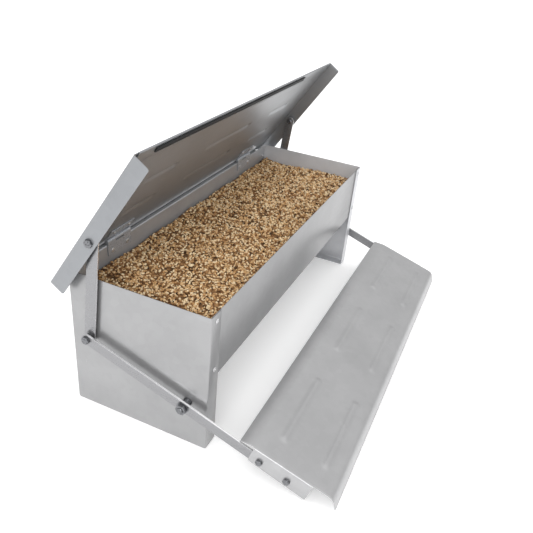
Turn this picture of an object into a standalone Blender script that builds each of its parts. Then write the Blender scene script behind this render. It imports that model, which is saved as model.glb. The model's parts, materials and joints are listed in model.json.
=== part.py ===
"""Treadle poultry feeder: a folded sheet-metal hopper whose lid is lifted by a foot pedal.

Metres, +Z up. X runs across the feeder, the pedal is towards -Y and the hinged back of the
lid towards +Y. Every piece is its own object; the pieces of a moving group are parented to an
empty on that group's joint axis. The pose is the one with the pedal pressed and the lid open.
"""
import math

import bmesh
import bpy
from mathutils import Matrix, Vector

# --- driving dimensions -------------------------------------------------------------------
BOX_WIDTH = 0.580            # across the outer faces of the side panels
BOX_DEPTH = 0.200            # front flange face to rear flange face
BOX_HEIGHT = 0.204           # floor to the rim
SHEET = 0.0008               # galvanised sheet of the box, lid and pedal
BEND_RADIUS = 0.0016         # middle of the sheet, at every fold
GAP = 0.0003                 # between pieces that touch
RIM_DROP = 0.0002            # the hopper sheets stop this far under the rim of the sides

SIDE_FLANGE = 0.023          # front flange of a side panel, inwards
REAR_FLANGE = 0.018
FOOT_FLANGE = 0.020
FRONT_WALL_HEIGHT = 0.096    # rim down to the fold into the sloping floor
FLOOR_BACK_HEIGHT = 0.012    # where the sloping floor meets the back panel
FLOOR_UPSTAND = 0.010
BACK_FOOT = 0.003            # the back panel's lower edge above the ground
BACK_HEM = 0.0062            # outward flange along the top of the back panel
BACK_HEM_END = 0.040         # from the box's side to the end of that flange

LID_OPEN = math.radians(56.4)
LID_REAR = 0.029             # hinge axis to the rear edge
LID_OVERHANG = 0.0038        # the shut lid's front edge, past the box's front face
LID_SIDE_GAP = 0.0120        # side panel to the outer face of the lid's side flange
LID_FLANGE = 0.0223
LID_HEM = 0.019
LID_CORNER = 0.003
SEAL_WIDTH = 0.007
SEAL_THICKNESS = 0.0020
SEAL_SETBACK = 0.003         # front edge of the lid to the seal
SEAL_END_LEFT = 0.040        # side flange to the end of the seal
SEAL_END_RIGHT = 0.130
SEAL_CHAMFER = 0.0004

HINGE_WIDTH = 0.050
HINGE_INSET = 0.100          # side panel to the middle of a hinge
HINGE_PIN_R = 0.0015
HINGE_PIN_END = 0.0008       # the pin stands this far past the outer knuckles
KNUCKLE_WALL = 0.0012
HINGE_LEAF = 0.0012
HINGE_LEAF_LENGTH = 0.020
HINGE_RIVET_SPREAD = 0.032
HINGE_RIVET_DROP = 0.014     # hinge axis to the rivets, along each leaf

PIVOT_Y = -0.0725            # treadle pivot, from the middle of the box
PIVOT_Z = 0.070
ARM_ANGLE = math.radians(18.6)
ARM_WIDTH = 0.015
ARM_THICKNESS = 0.003
ARM_GAP = 0.0096             # side panel to the inner face of the arm
ARM_FRONT = 0.178            # pivot to the front end
ARM_REAR = 0.149             # pivot to the link's bolt
LINK_WIDTH = 0.016
LINK_THICKNESS = 0.002
LINK_GAP = 0.004             # side panel to the inner face of the link
LINK_LID_U = 0.0680          # hinge axis to the link's upper bolt, towards the lid's front
LINK_LID_N = -0.0092         # and below the hinge axis, square to the lid

PEDAL_REAR = 0.099           # pivot to the bend of the rear lip
PEDAL_FRONT = 0.200          # pivot to the start of the front lip
PEDAL_TAB_FRONT = 0.1805
PEDAL_HEIGHT = 0.0160        # plate above the arms' centre line, at the middle of the tabs
PEDAL_TILT = math.radians(2.0)
PEDAL_TAB_DROP = 0.0092      # tab's lower edge below the arms' centre line
REAR_LIP = 0.0165
REAR_LIP_ANGLE = math.radians(13)
REAR_LIP_RADIUS = 0.012
FRONT_LIP = 0.0095
FRONT_LIP_ANGLE = math.radians(58)
FRONT_LIP_RADIUS = 0.013
PEDAL_BOLTS = (0.113, 0.152)

BEAD_WIDTH = 0.011
BEAD_HEIGHT = 0.0018
BEAD_END = 0.005             # length of a bead's sloping end
PEDAL_BEAD_ROWS = (0.025, 0.084)            # behind the rear bend, towards the front
PEDAL_BEAD_INSET = 0.0327    # the tab's outer face to the outer end of a bead
PEDAL_BEAD_OUTER = 0.133     # length of an outer bead
PEDAL_BEAD_CENTRE = 0.132    # length of the middle bead
LID_BEAD_ROWS = (0.061, 0.123)              # hinge axis towards the front
LID_BEAD_INSET = 0.082       # the side flange to the outer end of a bead
LID_BEAD_OUTER = 0.075
LID_BEAD_CENTRE = 0.140

M8_R = 0.0038
M8_FLATS = 0.013
M8_NUT = 0.0048
M8_WASHER_R = 0.008
M6_R = 0.0028
M6_FLATS = 0.010
M6_NUT = 0.0032
M5_R = 0.0023
M5_FLATS = 0.008
M5_NUT = 0.0028
WASHER = 0.0010
SPACER_WALL = 0.0022
BOLT_TAIL = 0.0012           # thread that stands past a nut
RIVET_R = 0.0016
RIVET_HEAD_R = 0.0034
RIVET_HEAD = 0.0010
RIVET_TAIL_R = 0.0026
RIVET_TAIL = 0.0014
RIVET_INSET = 0.0125         # side panel's face to the rivets in its flanges
FRONT_RIVET_DROPS = (0.010, 0.080)   # under the rim
REAR_RIVET_DROP = 0.019
REAR_RIVET_RISE = 0.035      # the lower rear rivet, above the ground
SHORT_DRILL = 0.006          # a drill this long passes one sheet and nothing behind it
ROUND_STEPS = 20

# --- sizes that follow --------------------------------------------------------------------
HALF_SHEET = SHEET / 2
BOX_SIDE = BOX_WIDTH / 2
BOX_FRONT = -BOX_DEPTH / 2
BOX_BACK = BOX_DEPTH / 2
WALL_FRONT = BOX_FRONT + SHEET + GAP         # outer face of the front wall
WALL_BACK = BOX_BACK - SHEET - GAP           # outer face of the back panel
WALL_SIDE = BOX_SIDE - HALF_SHEET - BEND_RADIUS - GAP   # ends of front wall, floor and back
KNUCKLE_R = HINGE_PIN_R + GAP + KNUCKLE_WALL
HINGE_Y = WALL_BACK - SHEET - GAP - HINGE_LEAF + KNUCKLE_R
HINGE_Z = BOX_HEIGHT + GAP * 2 + KNUCKLE_R
LID_UNDER = KNUCKLE_R + GAP                  # hinge axis to the underside of the lid's sheet
LID_MID = LID_UNDER + HALF_SHEET
LID_SIDE = BOX_SIDE + LID_SIDE_GAP
LID_FRONT = HINGE_Y - BOX_FRONT + LID_OVERHANG   # hinge axis to the front edge
HINGE_X = BOX_SIDE - HINGE_INSET
FRONT_RIVETS = tuple(BOX_HEIGHT - drop for drop in FRONT_RIVET_DROPS)
REAR_RIVETS = (BOX_HEIGHT - REAR_RIVET_DROP, REAR_RIVET_RISE)
TAB_SIDE = BOX_SIDE + ARM_GAP + ARM_THICKNESS + GAP + SHEET
ARM_OUTER = BOX_SIDE + ARM_GAP + ARM_THICKNESS
LINK_OUTER = BOX_SIDE + LINK_GAP + LINK_THICKNESS

PALETTE = {
    "panel": ((0.53, 0.54, 0.55), 0.42, 0.85),
    "lid": ((0.47, 0.47, 0.48), 0.38, 0.85),
    "pedal": ((0.45, 0.45, 0.45), 0.40, 0.85),
    "bar": ((0.50, 0.50, 0.51), 0.35, 0.90),
    "fastener": ((0.36, 0.36, 0.37), 0.30, 0.95),
    "rubber": ((0.02, 0.02, 0.02), 0.80, 0.0),
}


def clear_scene():
    for obj in list(bpy.data.objects):
        bpy.data.objects.remove(obj, do_unlink=True)


def new_collection(name):
    collection = bpy.data.collections.new(name)
    bpy.context.scene.collection.children.link(collection)
    return collection


def material(key):
    found = bpy.data.materials.get(key)
    if found:
        return found
    colour, roughness, metallic = PALETTE[key]
    made = bpy.data.materials.new(key)
    made.use_nodes = True
    shader = made.node_tree.nodes["Principled BSDF"]
    shader.inputs["Base Color"].default_value = (*colour, 1.0)
    shader.inputs["Roughness"].default_value = roughness
    shader.inputs["Metallic"].default_value = metallic
    return made


def own_material(key, name):
    """A copy of a finish for one piece, so that each sub-part can be coloured by itself."""
    made = material(key).copy()
    made.name = name + "_finish"
    return made


def empty(name, location, angle_x):
    frame = bpy.data.objects.new(name, None)
    frame.location = location
    frame.rotation_euler = (angle_x, 0.0, 0.0)
    frame.empty_display_size = 0.03
    PARTS.objects.link(frame)
    return frame


def piece(name, bm, finish, parent=None):
    """Make an object from a bmesh in its parent's frame."""
    mesh = bpy.data.meshes.new(name)
    bm.to_mesh(mesh)
    bm.free()
    obj = bpy.data.objects.new(name, mesh)
    mesh.materials.append(own_material(finish, name))
    PARTS.objects.link(obj)
    if parent:
        obj.parent = parent
    return obj


def bead_spans(side, inset, outer, centre):
    """The x ranges of a row of three beads on a sheet that reaches this far to each side."""
    end = side - inset
    return ((-end, outer - end), (-centre / 2, centre / 2), (end - outer, end))


def solidify(obj, thickness):
    thick = obj.modifiers.new("thickness", "SOLIDIFY")
    thick.thickness = thickness
    thick.offset = 0.0
    thick.use_even_offset = True
    return obj


def cylinder(bm, centre, axis, radius, length, segments=ROUND_STEPS, spin=0.0):
    """Add a capped cylinder, or a prism with few segments, centred on a point."""
    turn = Vector((0, 0, 1)).rotation_difference(Vector(axis)).to_matrix().to_4x4()
    place = Matrix.Translation(centre) @ turn @ Matrix.Rotation(spin, 4, "Z")
    bmesh.ops.create_cone(
        bm, cap_ends=True, segments=segments, radius1=radius, radius2=radius,
        depth=length, matrix=place,
    )


def box(bm, low, high):
    low, high = Vector(low), Vector(high)
    size = high - low
    place = Matrix.Translation((low + high) / 2) @ Matrix.Diagonal((*size, 1.0))
    bmesh.ops.create_cube(bm, size=1.0, matrix=place)


def boolean(obj, tool, operation):
    cut = obj.modifiers.new(operation.lower(), "BOOLEAN")
    cut.operation = operation
    cut.object = tool
    return obj


def tool_from(name, bm, parent=None):
    mesh = bpy.data.meshes.new(name)
    bm.to_mesh(mesh)
    bm.free()
    tool = bpy.data.objects.new(name, mesh)
    tool.hide_render = True
    tool.display_type = "WIRE"
    TOOLS.objects.link(tool)
    if parent:
        tool.parent = parent
    return tool


def drill(obj, holes, depth=0.012):
    """Bore round holes: each is (centre, axis, radius) in the object's own frame."""
    bm = bmesh.new()
    for centre, axis, radius in holes:
        cylinder(bm, centre, axis, radius, depth)
    return boolean(obj, tool_from(obj.name + "_holes", bm, obj.parent), "DIFFERENCE")


def edges_where(bm, test):
    """Boundary edges whose two ends both pass a test on their position."""
    return [e for e in bm.edges if e.is_boundary and all(test(v.co) for v in e.verts)]


def fold(bm, edges, out, turn, radius, angle, length, steps=4):
    """Fold sheet on from boundary edges: an arc from direction out towards turn, then flat.

    With no angle, the sheet only runs on by the length.
    """
    out, turn = Vector(out), Vector(turn)
    last = Vector((0, 0, 0))
    moves = []
    for step in range(1, steps + 1 if angle else 1):
        theta = angle * step / steps
        point = radius * (math.sin(theta) * out + (1 - math.cos(theta)) * turn)
        moves.append(point - last)
        last = point
    if length:
        moves.append(length * (math.cos(angle) * out + math.sin(angle) * turn))
    for move in moves:
        grown = bmesh.ops.extrude_edge_only(bm, edges=edges)["geom"]
        verts = [g for g in grown if isinstance(g, bmesh.types.BMVert)]
        edges = [g for g in grown if isinstance(g, bmesh.types.BMEdge)]
        bmesh.ops.translate(bm, verts=verts, vec=move)
    return edges


def flat_sheet(bm, corner, along, across):
    """One rectangular face with a corner and two side vectors."""
    corner, along, across = Vector(corner), Vector(along), Vector(across)
    first = bm.verts.new(corner)
    second = bm.verts.new(corner + along)
    edge = bm.edges.new((first, second))
    grown = bmesh.ops.extrude_edge_only(bm, edges=[edge])["geom"]
    bmesh.ops.translate(bm, verts=[g for g in grown if isinstance(g, bmesh.types.BMVert)], vec=across)


def score(bm, axis, positions):
    """Cut the sheet across one axis (0 = x, 1 = y) at the given positions."""
    normal = Vector((1, 0, 0)) if axis == 0 else Vector((0, 1, 0))
    for position in positions:
        geom = bm.verts[:] + bm.edges[:] + bm.faces[:]
        bmesh.ops.bisect_plane(bm, geom=geom, plane_co=normal * position, plane_no=normal, dist=1e-7)


def press_beads(bm, spans, rows, height):
    """Press straight stiffening beads into a flat sheet that lies in the XY plane."""
    slope = BEAD_WIDTH / 4
    for row in rows:
        score(bm, 1, (row - 2 * slope, row - slope, row + slope, row + 2 * slope))
    for low, high in spans:
        score(bm, 0, (low, low + BEAD_END, high - BEAD_END, high))
    nudge = 1e-6
    for vert in bm.verts:
        in_row = any(abs(vert.co.y - row) < slope + nudge for row in rows)
        in_span = any(low + BEAD_END - nudge < vert.co.x < high - BEAD_END + nudge for low, high in spans)
        if in_row and in_span:
            vert.co.z += height


def round_corners(bm, corners, radius):
    """Round the free corners of a flange that lie at the given points."""
    verts = [v for v in bm.verts if any((v.co - Vector(c)).length < 1e-5 for c in corners)]
    bmesh.ops.bevel(bm, geom=verts, offset=radius, segments=3, affect="VERTICES", profile=0.5)


# --- fasteners ----------------------------------------------------------------------------
def turned(name, profile, place, finish, parent=None):
    """A turned piece: (radius, height) points, top to bottom, around the local Z axis."""
    mesh = bpy.data.meshes.new(name)
    points = [(radius, 0.0, height) for radius, height in profile]
    mesh.from_pydata(points, [(i, i + 1) for i in range(len(points) - 1)], [])
    mesh.materials.append(own_material(finish, name))
    obj = bpy.data.objects.new(name, mesh)
    PARTS.objects.link(obj)
    spin = obj.modifiers.new("turn", "SCREW")
    spin.steps = spin.render_steps = ROUND_STEPS
    spin.use_merge_vertices = True
    spin.merge_threshold = 0.00001
    spin.use_smooth_shade = True
    obj.matrix_local = place
    if parent:
        obj.parent = parent
    return obj


def aim(point, axis):
    """A matrix that puts a local +Z axis on a direction at a point."""
    turn = Vector((0, 0, 1)).rotation_difference(Vector(axis)).to_matrix().to_4x4()
    return Matrix.Translation(point) @ turn


def rivet(name, point, axis, grip, parent=None):
    """A blind rivet: domed head outside at +axis, grip through the sheets, tail inside."""
    rise = RIVET_HEAD
    profile = [
        (0.0, GAP + rise), (RIVET_HEAD_R * 0.55, GAP + rise * 0.85),
        (RIVET_HEAD_R * 0.88, GAP + rise * 0.5), (RIVET_HEAD_R, GAP), (RIVET_R, GAP),
        (RIVET_R, -grip - GAP), (RIVET_TAIL_R, -grip - GAP),
        (RIVET_TAIL_R, -grip - GAP - RIVET_TAIL * 0.6), (RIVET_TAIL_R * 0.6, -grip - GAP - RIVET_TAIL),
        (0.0, -grip - GAP - RIVET_TAIL),
    ]
    return turned(name, profile, aim(point, axis), "fastener", parent)


def washer(name, point, axis, hole, radius, thickness, parent=None):
    """A plain washer or spacer that starts at a point and runs along an axis."""
    chamfer = min(thickness / 5, 0.0003)
    profile = [
        (hole, thickness), (radius - chamfer, thickness), (radius, thickness - chamfer),
        (radius, chamfer), (radius - chamfer, 0.0), (hole, 0.0), (hole, thickness),
    ]
    return turned(name, profile, aim(point, axis), "fastener", parent)


def nut(name, point, axis, shank, flats, height, parent=None):
    """A hexagon nut that starts at a point and runs along an axis."""
    axis = Vector(axis)
    bm = bmesh.new()
    radius = flats / math.sqrt(3)
    cylinder(bm, Vector(point) + axis * height / 2, axis, radius, height, segments=6, spin=math.pi / 6)
    rim = [e for e in bm.edges if abs((e.verts[0].co - e.verts[1].co).normalized().dot(axis)) < 0.5]
    bmesh.ops.bevel(bm, geom=rim, offset=height * 0.10, segments=1, affect="EDGES", profile=0.5)
    made = piece(name, bm, "fastener", parent)
    centre = Vector(point) + axis * height / 2
    return drill(made, [(centre, axis, shank + GAP)], depth=height * 3)


def bolt(name, point, axis, shank, flats, head, length, parent=None):
    """A hexagon bolt: its head starts at a point and stands along axis, the shank runs back."""
    axis = Vector(axis)
    point = Vector(point)
    bm = bmesh.new()
    radius = flats / math.sqrt(3)
    cylinder(bm, point + axis * head / 2, axis, radius, head, segments=6, spin=math.pi / 6)
    top = [e for e in bm.edges if all((v.co - point).dot(axis) > head * 0.9 for v in e.verts)]
    bmesh.ops.bevel(bm, geom=top, offset=head * 0.14, segments=1, affect="EDGES", profile=0.5)
    made = piece(name, bm, "fastener", parent)
    stem = bmesh.new()
    overlap = head / 2
    middle = point - axis * (length - overlap) / 2
    cylinder(stem, middle, axis, shank, length + overlap, segments=ROUND_STEPS)
    return boolean(made, tool_from(name + "_shank", stem, parent), "UNION")


# --- the hopper ---------------------------------------------------------------------------
def side_panel(name, side):
    """A side panel with its front, rear and foot flanges folded inwards."""
    bm = bmesh.new()
    x = side * (BOX_SIDE - HALF_SHEET)
    y_low, y_high = BOX_FRONT + HALF_SHEET + BEND_RADIUS, BOX_BACK - HALF_SHEET - BEND_RADIUS
    z_low = HALF_SHEET + BEND_RADIUS
    flat_sheet(bm, (x, y_low, z_low), (0, y_high - y_low, 0), (0, 0, BOX_HEIGHT - z_low))
    near = 1e-6
    inward = (-side, 0, 0)
    quarter = math.pi / 2
    bend = BEND_RADIUS + HALF_SHEET
    front = edges_where(bm, lambda c: c.y < y_low + near)
    rear = edges_where(bm, lambda c: c.y > y_high - near)
    foot = edges_where(bm, lambda c: c.z < z_low + near)
    fold(bm, front, (0, -1, 0), inward, BEND_RADIUS, quarter, SIDE_FLANGE - bend)
    fold(bm, rear, (0, 1, 0), inward, BEND_RADIUS, quarter, REAR_FLANGE - bend)
    fold(bm, foot, (0, 0, -1), inward, BEND_RADIUS, quarter, FOOT_FLANGE - bend)
    obj = solidify(piece(name, bm, "panel"), SHEET)
    rivet_x = side * (BOX_SIDE - RIVET_INSET)
    holes = [((rivet_x, BOX_FRONT, z), (0, 1, 0), RIVET_R + GAP) for z in FRONT_RIVETS]
    holes += [((rivet_x, BOX_BACK, z), (0, 1, 0), RIVET_R + GAP) for z in REAR_RIVETS]
    holes.append(((side * BOX_SIDE, PIVOT_Y, PIVOT_Z), (1, 0, 0), M8_R + GAP))
    return drill(obj, holes)


def front_wall_and_floor():
    """The low front wall, the sloping hopper floor and its upstand, folded from one sheet."""
    bm = bmesh.new()
    y_front = WALL_FRONT + HALF_SHEET
    z_top = BOX_HEIGHT - RIM_DROP
    z_fold = BOX_HEIGHT - FRONT_WALL_HEIGHT
    y_back = WALL_BACK - SHEET - GAP - HALF_SHEET
    run, fall = y_back - y_front, z_fold - FLOOR_BACK_HEIGHT
    slope = math.atan2(fall, run)
    turn_front = math.pi / 2 - slope
    turn_back = math.pi / 2 + slope
    set_front = BEND_RADIUS * math.tan(turn_front / 2)
    set_back = BEND_RADIUS * math.tan(turn_back / 2)
    flat_sheet(bm, (-WALL_SIDE, y_front, z_top), (2 * WALL_SIDE, 0, 0), (0, 0, z_fold + set_front - z_top))
    low = edges_where(bm, lambda c: c.z < z_fold + set_front + 1e-6)
    floor_length = math.hypot(run, fall) - set_front - set_back
    low = fold(bm, low, (0, 0, -1), (0, 1, 0), BEND_RADIUS, turn_front, floor_length)
    down = Vector((0, math.cos(slope), -math.sin(slope)))
    up = Vector((0, math.sin(slope), math.cos(slope)))
    fold(bm, low, down, up, BEND_RADIUS, turn_back, FLOOR_UPSTAND)
    obj = solidify(piece("front_wall_and_floor", bm, "panel"), SHEET)
    holes = [
        ((side * (BOX_SIDE - RIVET_INSET), BOX_FRONT, z), (0, 1, 0), RIVET_R + GAP)
        for side in (-1, 1) for z in FRONT_RIVETS
    ]
    return drill(obj, holes)


def back_panel():
    """The back panel, with a narrow flange folded outwards along its top."""
    bm = bmesh.new()
    y = WALL_BACK - HALF_SHEET
    z_top = BOX_HEIGHT - RIM_DROP
    hem_end = WALL_SIDE - BACK_HEM_END
    z_flat = z_top - HALF_SHEET - BEND_RADIUS
    flat_sheet(bm, (-WALL_SIDE, y, BACK_FOOT), (2 * WALL_SIDE, 0, 0), (0, 0, z_flat - BACK_FOOT))
    score(bm, 0, (-hem_end, hem_end))
    top = edges_where(bm, lambda c: c.z > z_flat - 1e-6)
    middle = [e for e in top if all(abs(v.co.x) < hem_end + 1e-6 for v in e.verts)]
    ends = [e for e in top if e not in middle]
    fold(bm, middle, (0, 0, 1), (0, 1, 0), BEND_RADIUS, math.pi / 2, BACK_HEM - BEND_RADIUS - HALF_SHEET)
    ends = edges_where(bm, lambda c: abs(c.z - z_flat) < 1e-6 and abs(c.x) > hem_end - 1e-6)
    fold(bm, ends, (0, 0, 1), (0, 1, 0), BEND_RADIUS, 0.0, BEND_RADIUS)
    obj = solidify(piece("back_panel", bm, "panel"), SHEET)
    holes = [
        ((side * (BOX_SIDE - RIVET_INSET), BOX_BACK, z), (0, 1, 0), RIVET_R + GAP)
        for side in (-1, 1) for z in REAR_RIVETS
    ]
    holes += [
        ((x, BOX_BACK, HINGE_Z - HINGE_RIVET_DROP), (0, 1, 0), RIVET_R + GAP)
        for x in hinge_rivet_places()
    ]
    return drill(obj, holes)


def hinge_rivet_places():
    half = HINGE_RIVET_SPREAD / 2
    return [side * HINGE_X + shift for side in (-1, 1) for shift in (-half, half)]


def box_rivets():
    for side, word in ((-1, "left"), (1, "right")):
        x = side * (BOX_SIDE - RIVET_INSET)
        for z, level in zip(FRONT_RIVETS, ("upper", "lower")):
            rivet(f"front_rivet_{word}_{level}", (x, BOX_FRONT, z), (0, -1, 0), 2 * SHEET + GAP)
        for z, level in zip(REAR_RIVETS, ("upper", "lower")):
            rivet(f"rear_rivet_{word}_{level}", (x, BOX_BACK, z), (0, 1, 0), 2 * SHEET + GAP)


# --- hinges -------------------------------------------------------------------------------
def hinge_leaf(name, side, spans, leaf_low, leaf_high, parent):
    """A hinge leaf: a flat plate with its knuckles, bored for the pin, axis at local y = z = 0."""
    centre = side * HINGE_X
    bm = bmesh.new()
    box(bm, leaf_low, leaf_high)
    obj = piece(name, bm, "fastener", parent)
    knuckles = bmesh.new()
    for low, high in spans:
        cylinder(knuckles, (centre + (low + high) / 2, 0, 0), (1, 0, 0), KNUCKLE_R, high - low)
    boolean(obj, tool_from(name + "_knuckles", knuckles, parent), "UNION")
    bore = bmesh.new()
    cylinder(bore, (centre, 0, 0), (1, 0, 0), HINGE_PIN_R + GAP, HINGE_WIDTH * 2)
    return boolean(obj, tool_from(name + "_bore", bore, parent), "DIFFERENCE")


def hinge(side, word, base, lid):
    """One butt hinge: two knuckles on the back panel's leaf, one on the lid's, and a pin."""
    third = HINGE_WIDTH / 3
    half = HINGE_WIDTH / 2
    outer = ((-half, -half + third - GAP / 2), (half - third + GAP / 2, half))
    inner = ((-half + third + GAP / 2, half - third - GAP / 2),)
    centre = side * HINGE_X
    rivets = [centre - HINGE_RIVET_SPREAD / 2, centre + HINGE_RIVET_SPREAD / 2]
    front = -KNUCKLE_R

    # Each leaf touches the knuckle's side; a notch clears the other leaf's knuckle.
    body_name = f"hinge_leaf_back_{word}"
    body = hinge_leaf(
        body_name, side, outer, (centre - half, front, -HINGE_LEAF_LENGTH),
        (centre + half, front + HINGE_LEAF, 0.0), base,
    )
    notch = bmesh.new()
    box(notch, (centre - half + third - GAP / 2, -KNUCKLE_R * 2, -KNUCKLE_R - GAP),
        (centre + half - third + GAP / 2, KNUCKLE_R * 2, KNUCKLE_R * 2))
    boolean(body, tool_from(body_name + "_notch", notch, base), "DIFFERENCE")
    drill(body, [((x, front, -HINGE_RIVET_DROP), (0, 1, 0), RIVET_R + GAP) for x in rivets])

    lid_name = f"hinge_leaf_lid_{word}"
    leaf = hinge_leaf(
        lid_name, side, inner, (centre - half, -HINGE_LEAF_LENGTH, KNUCKLE_R - HINGE_LEAF),
        (centre + half, 0.0, KNUCKLE_R), lid,
    )
    for number, (low, high) in enumerate(outer):
        notch = bmesh.new()
        box(notch, (centre + low - GAP, -KNUCKLE_R - GAP, -KNUCKLE_R * 2),
            (centre + high + GAP, KNUCKLE_R * 2, KNUCKLE_R * 2))
        boolean(leaf, tool_from(f"{lid_name}_notch_{number}", notch, lid), "DIFFERENCE")
    drill(leaf, [((x, -HINGE_RIVET_DROP, KNUCKLE_R), (0, 0, 1), RIVET_R + GAP) for x in rivets])

    end = half + HINGE_PIN_END
    profile = [(0.0, end), (HINGE_PIN_R, end), (HINGE_PIN_R, -end), (0.0, -end)]
    turned(f"hinge_pin_{word}", profile, aim((centre, 0, 0), (1, 0, 0)), "fastener", base)
    for x, which in zip(rivets, ("a", "b")):
        rivet(f"hinge_rivet_back_{word}_{which}", (x, front, -HINGE_RIVET_DROP), (0, -1, 0),
              HINGE_LEAF + GAP + SHEET, base)
        rivet(f"hinge_rivet_lid_{word}_{which}", (x, -HINGE_RIVET_DROP, LID_UNDER + SHEET), (0, 0, 1),
              HINGE_LEAF + GAP + SHEET, lid)


# --- the lid ------------------------------------------------------------------------------
def lid_shell(lid):
    """The lid: flat sheet with beads, hemmed front and rear, side flanges folded down."""
    bm = bmesh.new()
    hem_fold = SHEET / 2 + GAP
    flat_x = LID_SIDE - HALF_SHEET - BEND_RADIUS
    y_front = -(LID_FRONT - HALF_SHEET - hem_fold)
    y_rear = LID_REAR - HALF_SHEET - hem_fold
    flat_sheet(bm, (-flat_x, y_front, LID_MID), (2 * flat_x, 0, 0), (0, y_rear - y_front, 0))
    hem_x = flat_x - 0.002
    score(bm, 0, (-hem_x, hem_x))
    near = 1e-6
    for y, out in ((y_front, (0, -1, 0)), (y_rear, (0, 1, 0))):
        edge = edges_where(bm, lambda c: abs(c.y - y) < near and abs(c.x) < hem_x + near)
        fold(bm, edge, out, (0, 0, -1), hem_fold, math.pi, LID_HEM - hem_fold - HALF_SHEET)
    flange = LID_FLANGE - HALF_SHEET - BEND_RADIUS
    corners = []
    for side in (-1, 1):
        edge = edges_where(bm, lambda c: side * c.x > flat_x - near)
        fold(bm, edge, (side, 0, 0), (0, 0, -1), BEND_RADIUS, math.pi / 2, flange)
        low = LID_MID - BEND_RADIUS - flange
        corners += [(side * (flat_x + BEND_RADIUS), y, low) for y in (y_front, y_rear)]
    round_corners(bm, corners, LID_CORNER)
    press_beads(bm, bead_spans(LID_SIDE, LID_BEAD_INSET, LID_BEAD_OUTER, LID_BEAD_CENTRE),
                [-row for row in LID_BEAD_ROWS], BEAD_HEIGHT)
    obj = solidify(piece("lid_shell", bm, "lid", lid), SHEET)
    holes = [((side * LID_SIDE, -LINK_LID_U, LINK_LID_N), (1, 0, 0), M6_R + GAP) for side in (-1, 1)]
    holes += [((x, -HINGE_RIVET_DROP, LID_MID), (0, 0, 1), RIVET_R + GAP) for x in hinge_rivet_places()]
    return drill(obj, holes, depth=SHORT_DRILL)


def lid_seal(lid):
    """The rubber strip under the lid's front hem, where it meets the rim of the front wall."""
    top = LID_MID - 2 * (HALF_SHEET + GAP) - HALF_SHEET - GAP
    left = -(LID_SIDE - SEAL_END_LEFT)
    right = LID_SIDE - SEAL_END_RIGHT
    front = -(LID_FRONT - SEAL_SETBACK)
    bm = bmesh.new()
    box(bm, (left, front, top - SEAL_THICKNESS), (right, front + SEAL_WIDTH, top))
    low = [e for e in bm.edges if all(v.co.z < top - SEAL_THICKNESS / 2 for v in e.verts)]
    bmesh.ops.bevel(bm, geom=low, offset=SEAL_CHAMFER, segments=1, affect="EDGES", profile=0.5)
    return piece("lid_seal_strip", bm, "rubber", lid)


# --- treadle ------------------------------------------------------------------------------
def bar(name, inner_x, side, thickness, width, ends, parent, finish="bar"):
    """A flat bar with round ends, between two points of the YZ plane."""
    (y0, z0), (y1, z1) = ends
    along = Vector((0, y1 - y0, z1 - z0))
    length = along.length
    along.normalize()
    across = Vector((1, 0, 0)).cross(along)
    radius = width / 2
    outline = []
    for centre, start in (((y1, z1), -math.pi / 2), ((y0, z0), math.pi / 2)):
        middle = Vector((0, *centre))
        for step in range(13):
            theta = start + math.pi * step / 12
            outline.append(middle + radius * (math.cos(theta) * along + math.sin(theta) * across))
    curve = bpy.data.curves.new(name + "_outline", "CURVE")
    curve.dimensions = "2D"
    curve.fill_mode = "BOTH"
    curve.extrude = thickness / 2
    spline = curve.splines.new("POLY")
    spline.points.add(len(outline) - 1)
    for point, place in zip(spline.points, outline):
        point.co = (place.y, place.z, 0.0, 1.0)
    spline.use_cyclic_u = True
    guide = bpy.data.objects.new(name + "_outline", curve)
    TOOLS.objects.link(guide)
    bpy.context.view_layer.update()
    mesh = bpy.data.meshes.new_from_object(guide.evaluated_get(bpy.context.evaluated_depsgraph_get()))
    bpy.data.objects.remove(guide)
    # The outline's x, y lie on the bar's Y, Z; its thickness lies on X.
    middle_x = side * (inner_x + thickness / 2)
    mesh.transform(Matrix(((0, 0, 1, middle_x), (1, 0, 0, 0), (0, 1, 0, 0), (0, 0, 0, 1))))
    bm = bmesh.new()
    bm.from_mesh(mesh)
    bpy.data.meshes.remove(mesh)
    bmesh.ops.remove_doubles(bm, verts=bm.verts, dist=1e-6)
    bmesh.ops.recalc_face_normals(bm, faces=bm.faces)
    return piece(name, bm, finish, parent)


def arm(side, word, treadle):
    """A treadle arm, in the treadle's frame: the pedal towards -y, the link towards +y."""
    ends = ((-ARM_FRONT + ARM_WIDTH / 2, 0.0), (ARM_REAR, 0.0))
    obj = bar(f"arm_{word}", BOX_SIDE + ARM_GAP, side, ARM_THICKNESS, ARM_WIDTH, ends, treadle)
    x = side * (BOX_SIDE + ARM_GAP)
    holes = [((x, 0, 0), (1, 0, 0), M8_R + GAP), ((x, ARM_REAR, 0), (1, 0, 0), M6_R + GAP)]
    holes += [((x, -u, 0), (1, 0, 0), M5_R + GAP) for u in PEDAL_BOLTS]
    return drill(obj, holes)


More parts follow.
